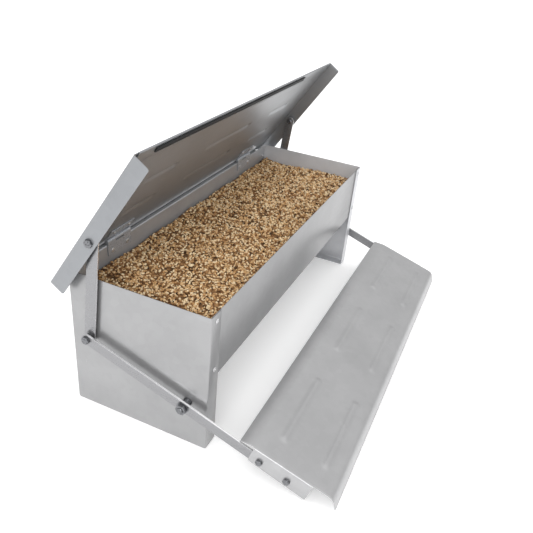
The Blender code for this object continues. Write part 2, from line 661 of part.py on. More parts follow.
def pedal_plate(treadle):
    """The pedal: beaded plate, rear and front lips, and a tab folded down over each arm."""
    bm = bmesh.new()
    flat_x = TAB_SIDE - HALF_SHEET - BEND_RADIUS
    tab_middle = (PEDAL_REAR + PEDAL_TAB_FRONT) / 2
    y_rear = tab_middle - PEDAL_REAR
    y_front = tab_middle - PEDAL_FRONT
    y_tab = tab_middle - PEDAL_TAB_FRONT
    flat_sheet(bm, (-flat_x, y_front, 0), (2 * flat_x, 0, 0), (0, y_rear - y_front, 0))
    score(bm, 1, (y_tab,))
    near = 1e-6
    front = edges_where(bm, lambda c: c.y < y_front + near)
    rear = edges_where(bm, lambda c: c.y > y_rear - near)
    fold(bm, front, (0, -1, 0), (0, 0, -1), FRONT_LIP_RADIUS, FRONT_LIP_ANGLE, FRONT_LIP, steps=7)
    fold(bm, rear, (0, 1, 0), (0, 0, -1), REAR_LIP_RADIUS, REAR_LIP_ANGLE, REAR_LIP, steps=3)
    press_beads(bm, bead_spans(TAB_SIDE, PEDAL_BEAD_INSET, PEDAL_BEAD_OUTER, PEDAL_BEAD_CENTRE),
                [y_rear - row for row in PEDAL_BEAD_ROWS], BEAD_HEIGHT)
    tab_edges = []
    for side in (-1, 1):
        edge = edges_where(
            bm, lambda c: side * c.x > flat_x - near and y_tab - near < c.y < y_rear + near
            and abs(c.z) < near
        )
        drop = PEDAL_HEIGHT + PEDAL_TAB_DROP - BEND_RADIUS
        tab_edges += fold(bm, edge, (side, 0, 0), (0, 0, -1), BEND_RADIUS, math.pi / 2, drop)
    place = Matrix.Translation((0, -tab_middle, PEDAL_HEIGHT)) @ Matrix.Rotation(-PEDAL_TILT, 4, "X")
    bmesh.ops.transform(bm, matrix=place, verts=bm.verts)
    for vert in {v for e in tab_edges for v in e.verts}:
        vert.co.z = -PEDAL_TAB_DROP
    tips = [v.co.copy() for v in {v for e in tab_edges for v in e.verts}]
    reach = (min(t.y for t in tips), max(t.y for t in tips))
    ends = [c for c in tips if min(abs(c.y - end) for end in reach) < 1e-4]
    round_corners(bm, ends, LID_CORNER)
    obj = solidify(piece("pedal_plate", bm, "pedal", treadle), SHEET)
    holes = [
        ((side * (TAB_SIDE - HALF_SHEET), -u, 0), (1, 0, 0), M5_R + GAP)
        for side in (-1, 1) for u in PEDAL_BOLTS
    ]
    return drill(obj, holes, depth=SHORT_DRILL)


def pedal_fasteners(side, word, treadle):
    outward = (side, 0, 0)
    inward = (-side, 0, 0)
    outer = side * (TAB_SIDE + GAP)
    inner = side * (BOX_SIDE + ARM_GAP - GAP)
    grip = TAB_SIDE + GAP - (BOX_SIDE + ARM_GAP - GAP)
    for u, which in zip(PEDAL_BOLTS, ("rear", "front")):
        bolt(f"pedal_bolt_{word}_{which}", (outer, -u, 0), outward, M5_R, M5_FLATS, M5_NUT,
             grip + M5_NUT + BOLT_TAIL, treadle)
        nut(f"pedal_nut_{word}_{which}", (inner, -u, 0), inward, M5_R, M5_FLATS, M5_NUT, treadle)


def pivot_fasteners(side, word, base):
    """The treadle pivot: bolt from inside the panel, spacer, arm, washer, nut."""
    outward = (side, 0, 0)
    head = M8_NUT
    start = BOX_SIDE - SHEET - GAP
    spacer = BOX_SIDE + GAP
    outer_washer = ARM_OUTER + GAP
    outer_nut = outer_washer + WASHER + GAP
    length = outer_nut + M8_NUT + BOLT_TAIL - start
    bolt(f"pivot_bolt_{word}", (side * start, 0, 0), (-side, 0, 0), M8_R, M8_FLATS, head, length, base)
    washer(f"pivot_spacer_{word}", (side * spacer, 0, 0), outward, M8_R + GAP, M8_R + SPACER_WALL,
           BOX_SIDE + ARM_GAP - GAP - spacer, base)
    washer(f"pivot_washer_{word}", (side * outer_washer, 0, 0), outward, M8_R + GAP, M8_WASHER_R,
           WASHER, base)
    nut(f"pivot_nut_{word}", (side * outer_nut, 0, 0), outward, M8_R, M8_FLATS, M8_NUT, base)


# --- links --------------------------------------------------------------------------------
def lid_point(u, n):
    """A point of the open lid in the box's frame, from its distances along and off the lid."""
    y = HINGE_Y - u * math.cos(LID_OPEN) + n * math.sin(LID_OPEN)
    z = HINGE_Z + u * math.sin(LID_OPEN) + n * math.cos(LID_OPEN)
    return y, z


def arm_point(distance):
    """A point on the arms' centre line, this far behind the pivot."""
    return PIVOT_Y + distance * math.cos(ARM_ANGLE), PIVOT_Z + distance * math.sin(ARM_ANGLE)


def link(side, word, frame, length):
    ends = ((0, 0), (0, length))
    obj = bar(f"link_{word}", BOX_SIDE + LINK_GAP, side, LINK_THICKNESS, LINK_WIDTH, ends, frame)
    x = side * (BOX_SIDE + LINK_GAP)
    return drill(obj, [((x, 0, z), (1, 0, 0), M6_R + GAP) for z in (0, length)])


def link_fasteners(side, word, frame, length, treadle, lid):
    """The lower bolt joins arm and link. The upper one is cut short of the link it meets."""
    outward = (side, 0, 0)
    inner = BOX_SIDE + LINK_GAP - GAP
    outer = ARM_OUTER + GAP
    bolt(f"link_bolt_lower_{word}", (side * outer, ARM_REAR, 0), outward, M6_R, M6_FLATS, M6_NUT,
         outer - inner + M6_NUT, treadle)
    nut(f"link_nut_lower_{word}", (side * inner, ARM_REAR, 0), (-side, 0, 0), M6_R, M6_FLATS, M6_NUT,
        treadle)
    washer(f"link_spacer_{word}", (side * (LINK_OUTER + GAP), ARM_REAR, 0), outward, M6_R + GAP,
           M6_R + SPACER_WALL, BOX_SIDE + ARM_GAP - GAP - LINK_OUTER - GAP, treadle)
    lid_outer = LID_SIDE + GAP
    bolt(f"link_bolt_upper_{word}", (side * lid_outer, -LINK_LID_U, LINK_LID_N), outward, M6_R, M6_FLATS,
         M6_NUT, lid_outer - LINK_OUTER - GAP, lid)
    stud_end = LINK_THICKNESS + GAP
    button = [
        (0.0, stud_end), (M6_R, stud_end), (M6_R, 0.0), (M6_FLATS / 2, 0.0),
        (M6_FLATS / 2, -M6_NUT * 0.5), (M6_FLATS * 0.35, -M6_NUT * 0.8), (0.0, -M6_NUT * 0.9),
    ]
    turned(f"link_stud_upper_{word}", button, aim((side * inner, 0, length), outward), "fastener", frame)


def build():
    base = empty("hinge_axis_back", (0, HINGE_Y, HINGE_Z), 0.0)
    lid = empty("lid_axis", (0, HINGE_Y, HINGE_Z), -LID_OPEN)
    pivot = empty("pivot_axis", (0, PIVOT_Y, PIVOT_Z), 0.0)
    treadle = empty("treadle_axis", (0, PIVOT_Y, PIVOT_Z), ARM_ANGLE)
    lower = Vector(arm_point(ARM_REAR))
    upper = Vector(lid_point(LINK_LID_U, LINK_LID_N))
    length = (upper - lower).length
    lean = math.atan2(-(upper.x - lower.x), upper.y - lower.y)

    front_wall_and_floor()
    back_panel()
    box_rivets()
    lid_shell(lid)
    lid_seal(lid)
    pedal_plate(treadle)
    for side, word in ((-1, "left"), (1, "right")):
        side_panel(f"side_panel_{word}", side)
        hinge(side, word, base, lid)
        arm(side, word, treadle)
        pedal_fasteners(side, word, treadle)
        pivot_fasteners(side, word, pivot)
        frame = empty(f"link_axis_{word}", (0, *lower), lean)
        link(side, word, frame, length)
        link_fasteners(side, word, frame, length, treadle, lid)


def centre_on_footprint():
    """Move the whole feeder so that the middle of its footprint is at x = y = 0."""
    bpy.context.view_layer.update()
    depsgraph = bpy.context.evaluated_depsgraph_get()
    depths = []
    for obj in PARTS.objects:
        if obj.type == "MESH":
            final = obj.evaluated_get(depsgraph)
            depths += [(final.matrix_world @ Vector(corner)).y for corner in final.bound_box]
    middle = (min(depths) + max(depths)) / 2
    for obj in list(PARTS.objects) + list(TOOLS.objects):
        if obj.parent is None:
            obj.location.y -= middle
    print(f"middle of the footprint was at y = {middle:.6f}")


clear_scene()
PARTS = new_collection("treadle_feeder")
TOOLS = new_collection("cutters")
build()
centre_on_footprint()
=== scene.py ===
"""Looks of the treadle poultry feeder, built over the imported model.

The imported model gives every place: boxes of its nodes, the joint axes and the whole object's
box. Each sub-assembly is a class that models its pieces by folding, bevelling and turning as
the real ones are made, dresses them in a finish, and makes them ride on a body of the model.
"""

import json
import logging
import math
from dataclasses import dataclass, field
from enum import Enum
from functools import cached_property
from typing import Callable, Iterable, Sequence

import bmesh
import bpy
import numpy as np
from mathutils import Matrix, Vector


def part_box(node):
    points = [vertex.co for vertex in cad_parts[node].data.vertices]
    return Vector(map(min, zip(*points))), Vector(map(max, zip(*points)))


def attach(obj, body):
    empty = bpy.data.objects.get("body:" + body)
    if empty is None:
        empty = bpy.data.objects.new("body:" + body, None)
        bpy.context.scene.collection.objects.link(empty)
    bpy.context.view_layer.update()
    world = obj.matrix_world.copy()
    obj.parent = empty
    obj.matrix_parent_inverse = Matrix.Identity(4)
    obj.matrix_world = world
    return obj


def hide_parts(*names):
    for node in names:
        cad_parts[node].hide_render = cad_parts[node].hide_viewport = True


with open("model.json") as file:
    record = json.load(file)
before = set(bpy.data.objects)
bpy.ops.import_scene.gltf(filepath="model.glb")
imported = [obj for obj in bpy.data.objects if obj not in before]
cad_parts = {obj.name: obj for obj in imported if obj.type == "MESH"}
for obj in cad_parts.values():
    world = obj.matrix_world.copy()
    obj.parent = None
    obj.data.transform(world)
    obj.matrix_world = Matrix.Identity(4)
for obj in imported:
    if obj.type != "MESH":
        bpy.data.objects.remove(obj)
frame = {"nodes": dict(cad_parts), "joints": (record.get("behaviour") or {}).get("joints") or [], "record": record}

LOG = logging.getLogger("treadle_feeder")
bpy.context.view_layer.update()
MM = 0.001
QUARTER = math.pi / 2
Test = Callable[[Vector], bool]
Piece = bpy.types.Object


class Side(Enum):
    """The two sides of the feeder, with the sign of X and the word in the node names."""

    LEFT = -1
    RIGHT = 1

    @property
    def word(self) -> str:
        """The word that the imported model's node names use."""
        return self.name.lower()


class Blank(Enum):
    """What a piece is started from, by the operator's word for it."""

    SHEET = "plane"
    FINE_SHEET = "grid"
    BLOCK = "cube"
    BALL = "ico_sphere"
    DRUM = "cylinder"
    DISC = "circle"


class Kind(Enum):
    """What a pick in edit mode selects."""

    VERTS = (True, False, False)
    EDGES = (False, True, False)
    FACES = (False, False, True)


# --- the frame's sizes --------------------------------------------------------------------
@dataclass(frozen=True)
class Rig:
    """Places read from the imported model, in metres, and the sizes that every sheet shares."""

    sheet: float = 0.8 * MM
    bend: float = 1.6 * MM
    gap: float = 0.3 * MM
    lid_open: float = math.radians(56.4)
    arm_angle: float = math.radians(18.6)

    def joint(self, name: str) -> Vector:
        """Where a joint's axis is.

        Args:
            name: the joint's name in the record.

        Returns:
            A point on the axis, in the middle of the feeder.
        """
        found = next(row for row in frame["joints"] if row["name"] == name)
        return Vector(found["pos_m"])

    def span(self, node: str) -> tuple[Vector, Vector]:
        """The lowest and highest corner of a node."""
        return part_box(node)

    def rim(self) -> float:
        """The height of the box's rim."""
        return self.span("side_panel_left")[1].z

    def lid_space(self) -> Matrix:
        """From the lid's own frame (closed, axis at y = z = 0) to its open place."""
        return Matrix.Translation(self.joint("lid_hinge")) @ Matrix.Rotation(-self.lid_open, 4, "X")

    def arm_space(self) -> Matrix:
        """From the treadle's own frame (arms level, pivot at y = z = 0) to its place."""
        return Matrix.Translation(self.joint("treadle")) @ Matrix.Rotation(self.arm_angle, 4, "X")


RIG = Rig()


# --- node and colour helpers --------------------------------------------------------------
def linear(code: str) -> tuple[float, float, float, float]:
    """Turn an sRGB hex colour into linear light.

    Args:
        code: six hex digits with a leading hash.

    Returns:
        Red, green, blue and an alpha of one.
    """
    parts = [int(code[i:i + 2], 16) / 255 for i in (1, 3, 5)]
    bent = [p / 12.92 if p <= 0.04045 else ((p + 0.055) / 1.055) ** 2.4 for p in parts]
    return (bent[0], bent[1], bent[2], 1.0)


def per_mm(size: float) -> float:
    """The texture scale whose features are about this many millimetres across."""
    return 1.0 / (size * MM)


COLOURS = {"out": 2, "data_type": "RGBA"}  # what makes a Mix node mix colours


@dataclass
class Dye:
    """A material or a surround under construction: its node tree and its shader."""

    owner: bpy.types.Material | bpy.types.World
    shader_name: str = "Principled BSDF"

    def __post_init__(self) -> None:
        """Start from the clean shader that a new tree comes with."""
        self.owner.use_nodes = True
        self.tree = self.owner.node_tree
        self.shader = self.tree.nodes[self.shader_name]

    @cached_property
    def spot(self) -> bpy.types.NodeSocket:
        """The point on the piece, in Object coordinates."""
        return self.node("TexCoord", out="Object")

    def node(self, kind: str, links: dict | None = None, out: str | int = 0,
             **settings: object) -> bpy.types.NodeSocket:
        """Add a node, set its values and link its inputs.

        Args:
            kind: the node's type name, without its first word.
            links: input name or index to a socket or a plain value.
            out: which output is wanted.
            settings: attributes of the node itself.

        Returns:
            The wanted output.
        """
        made = self.tree.nodes.new("ShaderNode" + kind)
        for key, value in settings.items():
            setattr(made, key, value)
        self.join(made, links or {})
        return made.outputs[out]

    def join(self, node: bpy.types.Node, links: dict) -> None:
        """Link a node's inputs to sockets, or set their plain values."""
        for key, value in links.items():
            if isinstance(value, bpy.types.NodeSocket):
                self.tree.links.new(value, node.inputs[key])
            else:
                node.inputs[key].default_value = value

    def into(self, **sockets: object) -> None:
        """Feed the shader's inputs; underscores in the names stand for spaces."""
        self.join(self.shader, {key.replace("_", " "): value for key, value in sockets.items()})


# --- finishes -----------------------------------------------------------------------------
@dataclass(frozen=True)
class ZincCoatedSheet:
    """Hot-dip galvanised steel sheet, skin-passed: satin and even, a soft and dusty mirror."""

    name: str
    light: str = "#a1a1a2"
    dark: str = "#9a9a9b"
    scratched: str = "#cfcfd0"
    metal: float = 0.60
    roughness: float = 0.31
    cloud_mm: float = 85.0
    spangle_mm: float = 9.0
    scratch_mm: float = 3.2
    rolling_mm: float = 0.7
    swell_mm: float = 48.0

    def make(self) -> bpy.types.Material:
        """Build the material.

        Returns:
            A metal with cloudy zinc, fine rolling lines and a few handling scratches.
        """
        dye = Dye(bpy.data.materials.new(self.name))
        # Zinc cools in soft patches about a palm wide: they shift the tone by a few percent.
        cloud = dye.node("TexNoise", {"Vector": dye.spot, "Scale": per_mm(self.cloud_mm), "Detail": 3.0})
        tone = dye.node("MapRange", {"Value": cloud, "From Min": 0.36, "From Max": 0.64})
        base = dye.node("Mix", {0: tone, 6: linear(self.dark), 7: linear(self.light)}, **COLOURS)
        # A minimised spangle is about 9 mm across and only just shows as faint cells.
        cells = dye.node("TexVoronoi", {"Vector": dye.spot, "Scale": per_mm(self.spangle_mm)}, out="Color")
        facet = dye.node("SeparateColor", {0: cells})
        fleck = dye.node("MapRange", {"Value": facet, "To Min": 0.978, "To Max": 1.018})
        grey = dye.node("CombineColor", {0: fleck, 1: fleck, 2: fleck})
        base = dye.node("Mix", {0: 1.0, 6: base, 7: grey}, blend_type="MULTIPLY", **COLOURS)
        # Handling scratches are long and about 3 mm apart where they are densest: brighter metal.
        drawn = dye.node("Mapping", {0: dye.spot, "Scale": (0.16, 1.0, 0.35)})
        wander = dye.node("TexNoise", {"Vector": drawn, "Scale": per_mm(self.scratch_mm), "Detail": 5.0})
        scratch = dye.node("MapRange", {
            "Value": wander, "From Min": 0.745, "From Max": 0.77, "To Max": 0.45,
        })
        base = dye.node("Mix", {0: scratch, 6: base, 7: linear(self.scratched)}, **COLOURS)
        # Rolling lines: real ones are 0.05 mm apart, drawn at 0.7 mm so that they show.
        rolled = dye.node("Mapping", {0: dye.spot, "Scale": (0.02, 1.0, 1.0)})
        lines = dye.node("TexNoise", {"Vector": rolled, "Scale": per_mm(self.rolling_mm), "Detail": 2.0})
        rough = dye.node("MapRange", {
            "Value": lines, "From Min": 0.3, "From Max": 0.7,
            "To Min": self.roughness - 0.025, "To Max": self.roughness + 0.03,
        })
        # Thin sheet is never quite flat: it swells by a tenth of a millimetre over a hand's width.
        swell = dye.node("TexNoise", {"Vector": dye.spot, "Scale": per_mm(self.swell_mm), "Detail": 2.0})
        dent = dye.node("Bump", {"Height": swell, "Strength": 0.3, "Distance": 1.0 * MM})
        fine = dye.node("Bump", {
            "Height": lines, "Strength": 0.05, "Distance": 0.05 * MM, "Normal": dent,
        })
        dye.into(Base_Color=base, Metallic=self.metal, Roughness=rough, Normal=fine)
        return dye.owner


@dataclass(frozen=True)
class ZincPlatedBar:
    """Cold-drawn flat steel bar, zinc plated: close to the sheet, lines along its length."""

    name: str = "zinc_plated_flat_bar"
    tone: str = "#949496"
    worn: str = "#7f7f81"
    # The near-white of the painted highlight on the bar's narrow edges.
    slit: str = "#f4f4f5"
    drawing_mm: float = 0.6
    spot_mm: float = 9.0

    def make(self) -> bpy.types.Material:
        """Build the material.

        Returns:
            A satin metal with drawing lines, small dull spots and narrow edges painted near-white as a highlight.
        """
        dye = Dye(bpy.data.materials.new(self.name))
        # Drawing marks are drawn at 0.6 mm, ten times the real ones, to show at this size.
        drawn = dye.node("Mapping", {0: dye.spot, "Scale": (1.0, 0.03, 1.0)})
        lines = dye.node("TexNoise", {"Vector": drawn, "Scale": per_mm(self.drawing_mm), "Detail": 2.0})
        spots = dye.node("TexNoise", {"Vector": dye.spot, "Scale": per_mm(self.spot_mm), "Detail": 5.0})
        dull = dye.node("MapRange", {"Value": spots, "From Min": 0.62, "From Max": 0.76, "To Max": 0.5})
        base = dye.node("Mix", {0: dull, 6: linear(self.tone), 7: linear(self.worn)}, **COLOURS)
        # The narrow edges, whose normals turn away from X, are painted near-white: a painted highlight for light
        # caught on the bar's edges.
        facing = dye.node("SeparateXYZ", {0: dye.node("TexCoord", out="Normal")})
        flat = dye.node("Math", {0: facing}, operation="ABSOLUTE")
        edge = dye.node("MapRange", {
            "Value": flat, "From Min": 0.35, "From Max": 0.75, "To Min": 0.9, "To Max": 0.0,
        })
        base = dye.node("Mix", {0: edge, 6: base, 7: linear(self.slit)}, **COLOURS)
        rough = dye.node("MapRange", {
            "Value": lines, "From Min": 0.3, "From Max": 0.7, "To Min": 0.24, "To Max": 0.36,
        })
        grain = dye.node("Bump", {"Height": lines, "Strength": 0.15, "Distance": 0.06 * MM})
        dye.into(Base_Color=base, Metallic=0.85, Roughness=rough, Normal=grain)
        return dye.owner


@dataclass(frozen=True)
class SmallMetalPart:
    """Small stamped or cold-headed metal, plated or bare: bright, dulled by handling."""

    name: str
    tone: str = "#7f8083"
    grime: str = "#313235"
    metal: float = 1.0
    blotch_mm: float = 2.2

    def make(self) -> bpy.types.Material:
        """Build the material.

        Returns:
            A bright metal with darker blotches about 2 mm across.
        """
        dye = Dye(bpy.data.materials.new(self.name))
        blotch = dye.node("TexNoise", {"Vector": dye.spot, "Scale": per_mm(self.blotch_mm), "Detail": 5.0})
        amount = dye.node("MapRange", {"Value": blotch, "From Min": 0.48, "From Max": 0.7, "To Max": 0.8})
        base = dye.node("Mix", {0: amount, 6: linear(self.tone), 7: linear(self.grime)}, **COLOURS)
        rough = dye.node("MapRange", {
            "Value": blotch, "From Min": 0.3, "From Max": 0.7, "To Min": 0.2, "To Max": 0.42,
        })
        pits = dye.node("Bump", {"Height": blotch, "Strength": 0.2, "Distance": 0.05 * MM})
        dye.into(Base_Color=base, Metallic=self.metal, Roughness=rough, Normal=pits)
        return dye.owner


@dataclass(frozen=True)
class BlackRubber:
    """Extruded EPDM rubber: black, matt, with fine lines from the die."""

    name: str = "extruded_black_rubber"
    black: str = "#08080a"
    dusty: str = "#262627"
    die_mm: float = 0.9
    bloom_mm: float = 14.0

    def make(self) -> bpy.types.Material:
        """Build the material.

        Returns:
            A dark dielectric with a dusty bloom.
        """
        dye = Dye(bpy.data.materials.new(self.name))
        drawn = dye.node("Mapping", {0: dye.spot, "Scale": (0.02, 1.0, 1.0)})
        die = dye.node("TexNoise", {"Vector": drawn, "Scale": per_mm(self.die_mm), "Detail": 2.0})
        bloom = dye.node("TexNoise", {"Vector": dye.spot, "Scale": per_mm(self.bloom_mm), "Detail": 4.0})
        dust = dye.node("MapRange", {"Value": bloom, "From Min": 0.45, "From Max": 0.75, "To Max": 0.35})
        base = dye.node("Mix", {0: dust, 6: linear(self.black), 7: linear(self.dusty)}, **COLOURS)
        rough = dye.node("MapRange", {"Value": die, "To Min": 0.66, "To Max": 0.82})
        ribs = dye.node("Bump", {"Height": die, "Strength": 0.3, "Distance": 0.12 * MM})
        dye.into(Base_Color=base, Roughness=rough, IOR=1.52, Normal=ribs)
        return dye.owner


@dataclass(frozen=True)
class FeedGrain:
    """Dry mixed grain: husky, matt, every grain its own tone between cream and brown."""

    name: str = "dry_mixed_grain"
    tones: tuple[tuple[float, str], ...] = (
        (0.0, "#38240f"), (0.22, "#86603a"), (0.5, "#c89a66"), (0.78, "#e6c08c"), (1.0, "#fbe4bc"),
    )
    worn: str = "#6d4c2c"
    husk_mm: float = 0.8

    def make(self) -> bpy.types.Material:
        """Build the material.

        Returns:
            A dielectric that reads each grain's tone from the mesh's own attribute.
        """
        dye = Dye(bpy.data.materials.new(self.name))
        tone = dye.node("Attribute", out="Fac", attribute_name="grain_tone")
        shown = dye.node("ValToRGB", {0: tone})
        stops = shown.node.color_ramp.elements
        for place_on_ramp, code in self.tones[1:-1]:
            stops.new(place_on_ramp).color = linear(code)
        stops[0].color = linear(self.tones[0][1])
        stops[-1].color = linear(self.tones[-1][1])
        # Husk fibres are about 0.4 mm apart, drawn at 0.8 mm.
        husk = dye.node("TexNoise", {"Vector": dye.spot, "Scale": per_mm(self.husk_mm), "Detail": 3.0})
        amount = dye.node("MapRange", {"Value": husk, "From Min": 0.4, "From Max": 0.7, "To Max": 0.3})
        base = dye.node("Mix", {0: amount, 6: shown, 7: linear(self.worn)}, **COLOURS)
        fibres = dye.node("Bump", {"Height": husk, "Strength": 0.4, "Distance": 0.25 * MM})
        dye.into(Base_Color=base, Roughness=0.7, IOR=1.45, Normal=fibres)
        return dye.owner


@dataclass(frozen=True)
class StudioFloor:
    """White painted studio cove: matt, faintly mottled, with a little light of its own."""

    name: str = "matt_white_cove"
    light: str = "#fcfcfc"
    dark: str = "#f8f8f8"
    mottle_mm: float = 260.0
    glow: float = 0.22

    def make(self) -> bpy.types.Material:
        """Build the material."""
        dye = Dye(bpy.data.materials.new(self.name))
        mottle = dye.node("TexNoise", {"Vector": dye.spot, "Scale": per_mm(self.mottle_mm), "Detail": 2.0})
        base = dye.node("Mix", {0: mottle, 6: linear(self.dark), 7: linear(self.light)}, **COLOURS)
        # The glow keeps shadows on the floor pale, as over a light table.
        dye.into(Base_Color=base, Roughness=0.9, Emission_Color=linear("#ffffff"),
                 Emission_Strength=self.glow)
        return dye.owner


# --- modelling helpers --------------------------------------------------------------------
def leave_edit() -> None:
    """Go back from edit mode to object mode."""
    bpy.ops.object.mode_set(mode="OBJECT")


def deselect_everything() -> None:
    """Leave nothing selected, since every operator acts on all that is selected."""
    if bpy.context.object and bpy.context.object.mode != "OBJECT":
        leave_edit()
    bpy.ops.object.select_all(action="DESELECT")


def start(name: str, blank: Blank, stretch: Sequence[float] | None = None, **how: object) -> Piece:
    """Add a primitive, fix its place in its mesh and enter edit mode, with all of it selected.

    Args:
        name: the piece's name.
        blank: which primitive it is started from.
        stretch: how far it is drawn out in X, Y and Z from a size of one.
        how: what the primitive is told.

    Returns:
        The new object.
    """
    deselect_everything()
    getattr(bpy.ops.mesh, f"primitive_{blank.value}_add")(**how)
    obj = bpy.context.object
    obj.name = obj.data.name = name
    bpy.ops.object.transform_apply(location=True, rotation=True, scale=True)
    bpy.ops.object.mode_set(mode="EDIT")
    if stretch:
        bpy.ops.transform.resize(value=stretch)
    return obj


def pick(obj: Piece, kind: Kind, test: Test) -> None:
    """Select, in edit mode, what lies wholly where a test says.

    Args:
        obj: the object being edited.
        kind: verts, edges or faces.
        test: told each corner's place; all corners have to pass.
    """
    bpy.context.tool_settings.mesh_select_mode = kind.value
    bm = bmesh.from_edit_mesh(obj.data)
    for group in (bm.verts, bm.edges, bm.faces):
        for item in group:
            item.select_set(False)
    if kind is Kind.VERTS:
        chosen = [v for v in bm.verts if test(v.co)]
    else:
        group = bm.edges if kind is Kind.EDGES else bm.faces
        chosen = [item for item in group if all(test(v.co) for v in item.verts)]
    for item in chosen:
        item.select_set(True)
    bmesh.update_edit_mesh(obj.data)


def push(vector: Vector | Sequence[float]) -> None:
    """Extrude the selection along a vector."""
    bpy.ops.mesh.extrude_region_move(TRANSFORM_OT_translate={"value": tuple(vector)})


def fold(centre: Vector, axis: Vector, angle: float, tail: Vector, steps: int = 6) -> None:
    """Fold sheet on from the selected edges: an arc about an axis, then a flat tail.

    Args:
        centre: the centre of the bend.
        axis: the bend's axis; the sheet turns about it by the right-hand rule.
        angle: how far it turns, in radians.
        tail: the flat stretch after the bend.
        steps: how many facets the bend has.
    """
    bpy.ops.mesh.spin(steps=steps, angle=-angle, center=tuple(centre), axis=tuple(axis))
    if tail.length > 0:
        push(tail)


def bisect(obj: Piece, at: Vector, normal: Vector) -> None:
    """Cut the whole mesh along a plane."""
    pick(obj, Kind.FACES, lambda place: True)
    bpy.ops.mesh.bisect(plane_co=tuple(at), plane_no=tuple(normal))


def wall(obj: Piece, thickness: float, round_mm: float = 0.16) -> None:
    """Leave edit mode, give a folded sheet its thickness and break its sharp edges."""
    bpy.ops.mesh.select_all(action="SELECT")
    bpy.ops.mesh.remove_doubles(threshold=1e-5)
    bpy.ops.mesh.normals_make_consistent(inside=False)
    leave_edit()
    thick = obj.modifiers.new("thickness", "SOLIDIFY")
    thick.thickness = thickness
    thick.offset = 0.0
    thick.use_even_offset = True
    soft_edges(obj, round_mm * MM)


def soft_edges(obj: Piece, width: float, segments: int = 2, angle: float = 50.0) -> None:
    """Break sharp edges with a small bevel, apply all modifiers and shade smooth."""
    edge = obj.modifiers.new("edges", "BEVEL")
    edge.width = width
    edge.segments = segments
    edge.limit_method = "ANGLE"
    edge.angle_limit = math.radians(angle)
    apply_all(obj)
    bpy.ops.object.shade_smooth_by_angle(angle=math.radians(38))


def apply_all(obj: Piece) -> None:
    """Apply every modifier of the active object."""
    if obj.mode != "OBJECT":
        leave_edit()
    for modifier in list(obj.modifiers):
        bpy.ops.object.modifier_apply(modifier=modifier.name)


def place(obj: Piece, space: Matrix) -> None:
    """Move a piece's mesh from its own frame to its place, leaving the object at the origin."""
    obj.data.transform(space)
    obj.data.update()


def finish_piece(obj: Piece, material: bpy.types.Material, body: str,
                 nodes: Iterable[str] = ()) -> Piece:
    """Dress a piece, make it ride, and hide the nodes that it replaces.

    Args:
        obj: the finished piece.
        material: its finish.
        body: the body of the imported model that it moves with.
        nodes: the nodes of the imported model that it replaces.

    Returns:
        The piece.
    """
    obj.data.materials.clear()
    obj.data.materials.append(material)
    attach(obj, body)
    names = list(nodes)
    if names:
        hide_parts(*names)
    LOG.info("%s: %d faces on %s", obj.name, len(obj.data.polygons), body)
    return obj


def bead_rise(x: float, y: float, rows: Sequence[float], spans: Sequence[tuple[float, float]],
              width: float, height: float) -> float:
    """How high a pressed stiffening bead stands at a point.

    Args:
        x, y: the point on the sheet.
        rows: the y of each row of beads.
        spans: the x range of each bead, round ends included.
        width, height: the bead's cross-section.

    Returns:
        The rise, from a smooth arch over each bead's centre line.
    """
    half = width / 2
    best = 0.0
    for row in rows:
        for low, high in spans:
            along = max(low + half - x, 0.0, x - high + half)
            away = math.hypot(along, y - row) / half
            if away < 1.0:
                best = max(best, height * (0.5 + 0.5 * math.cos(math.pi * away)) ** 0.75)
    return best


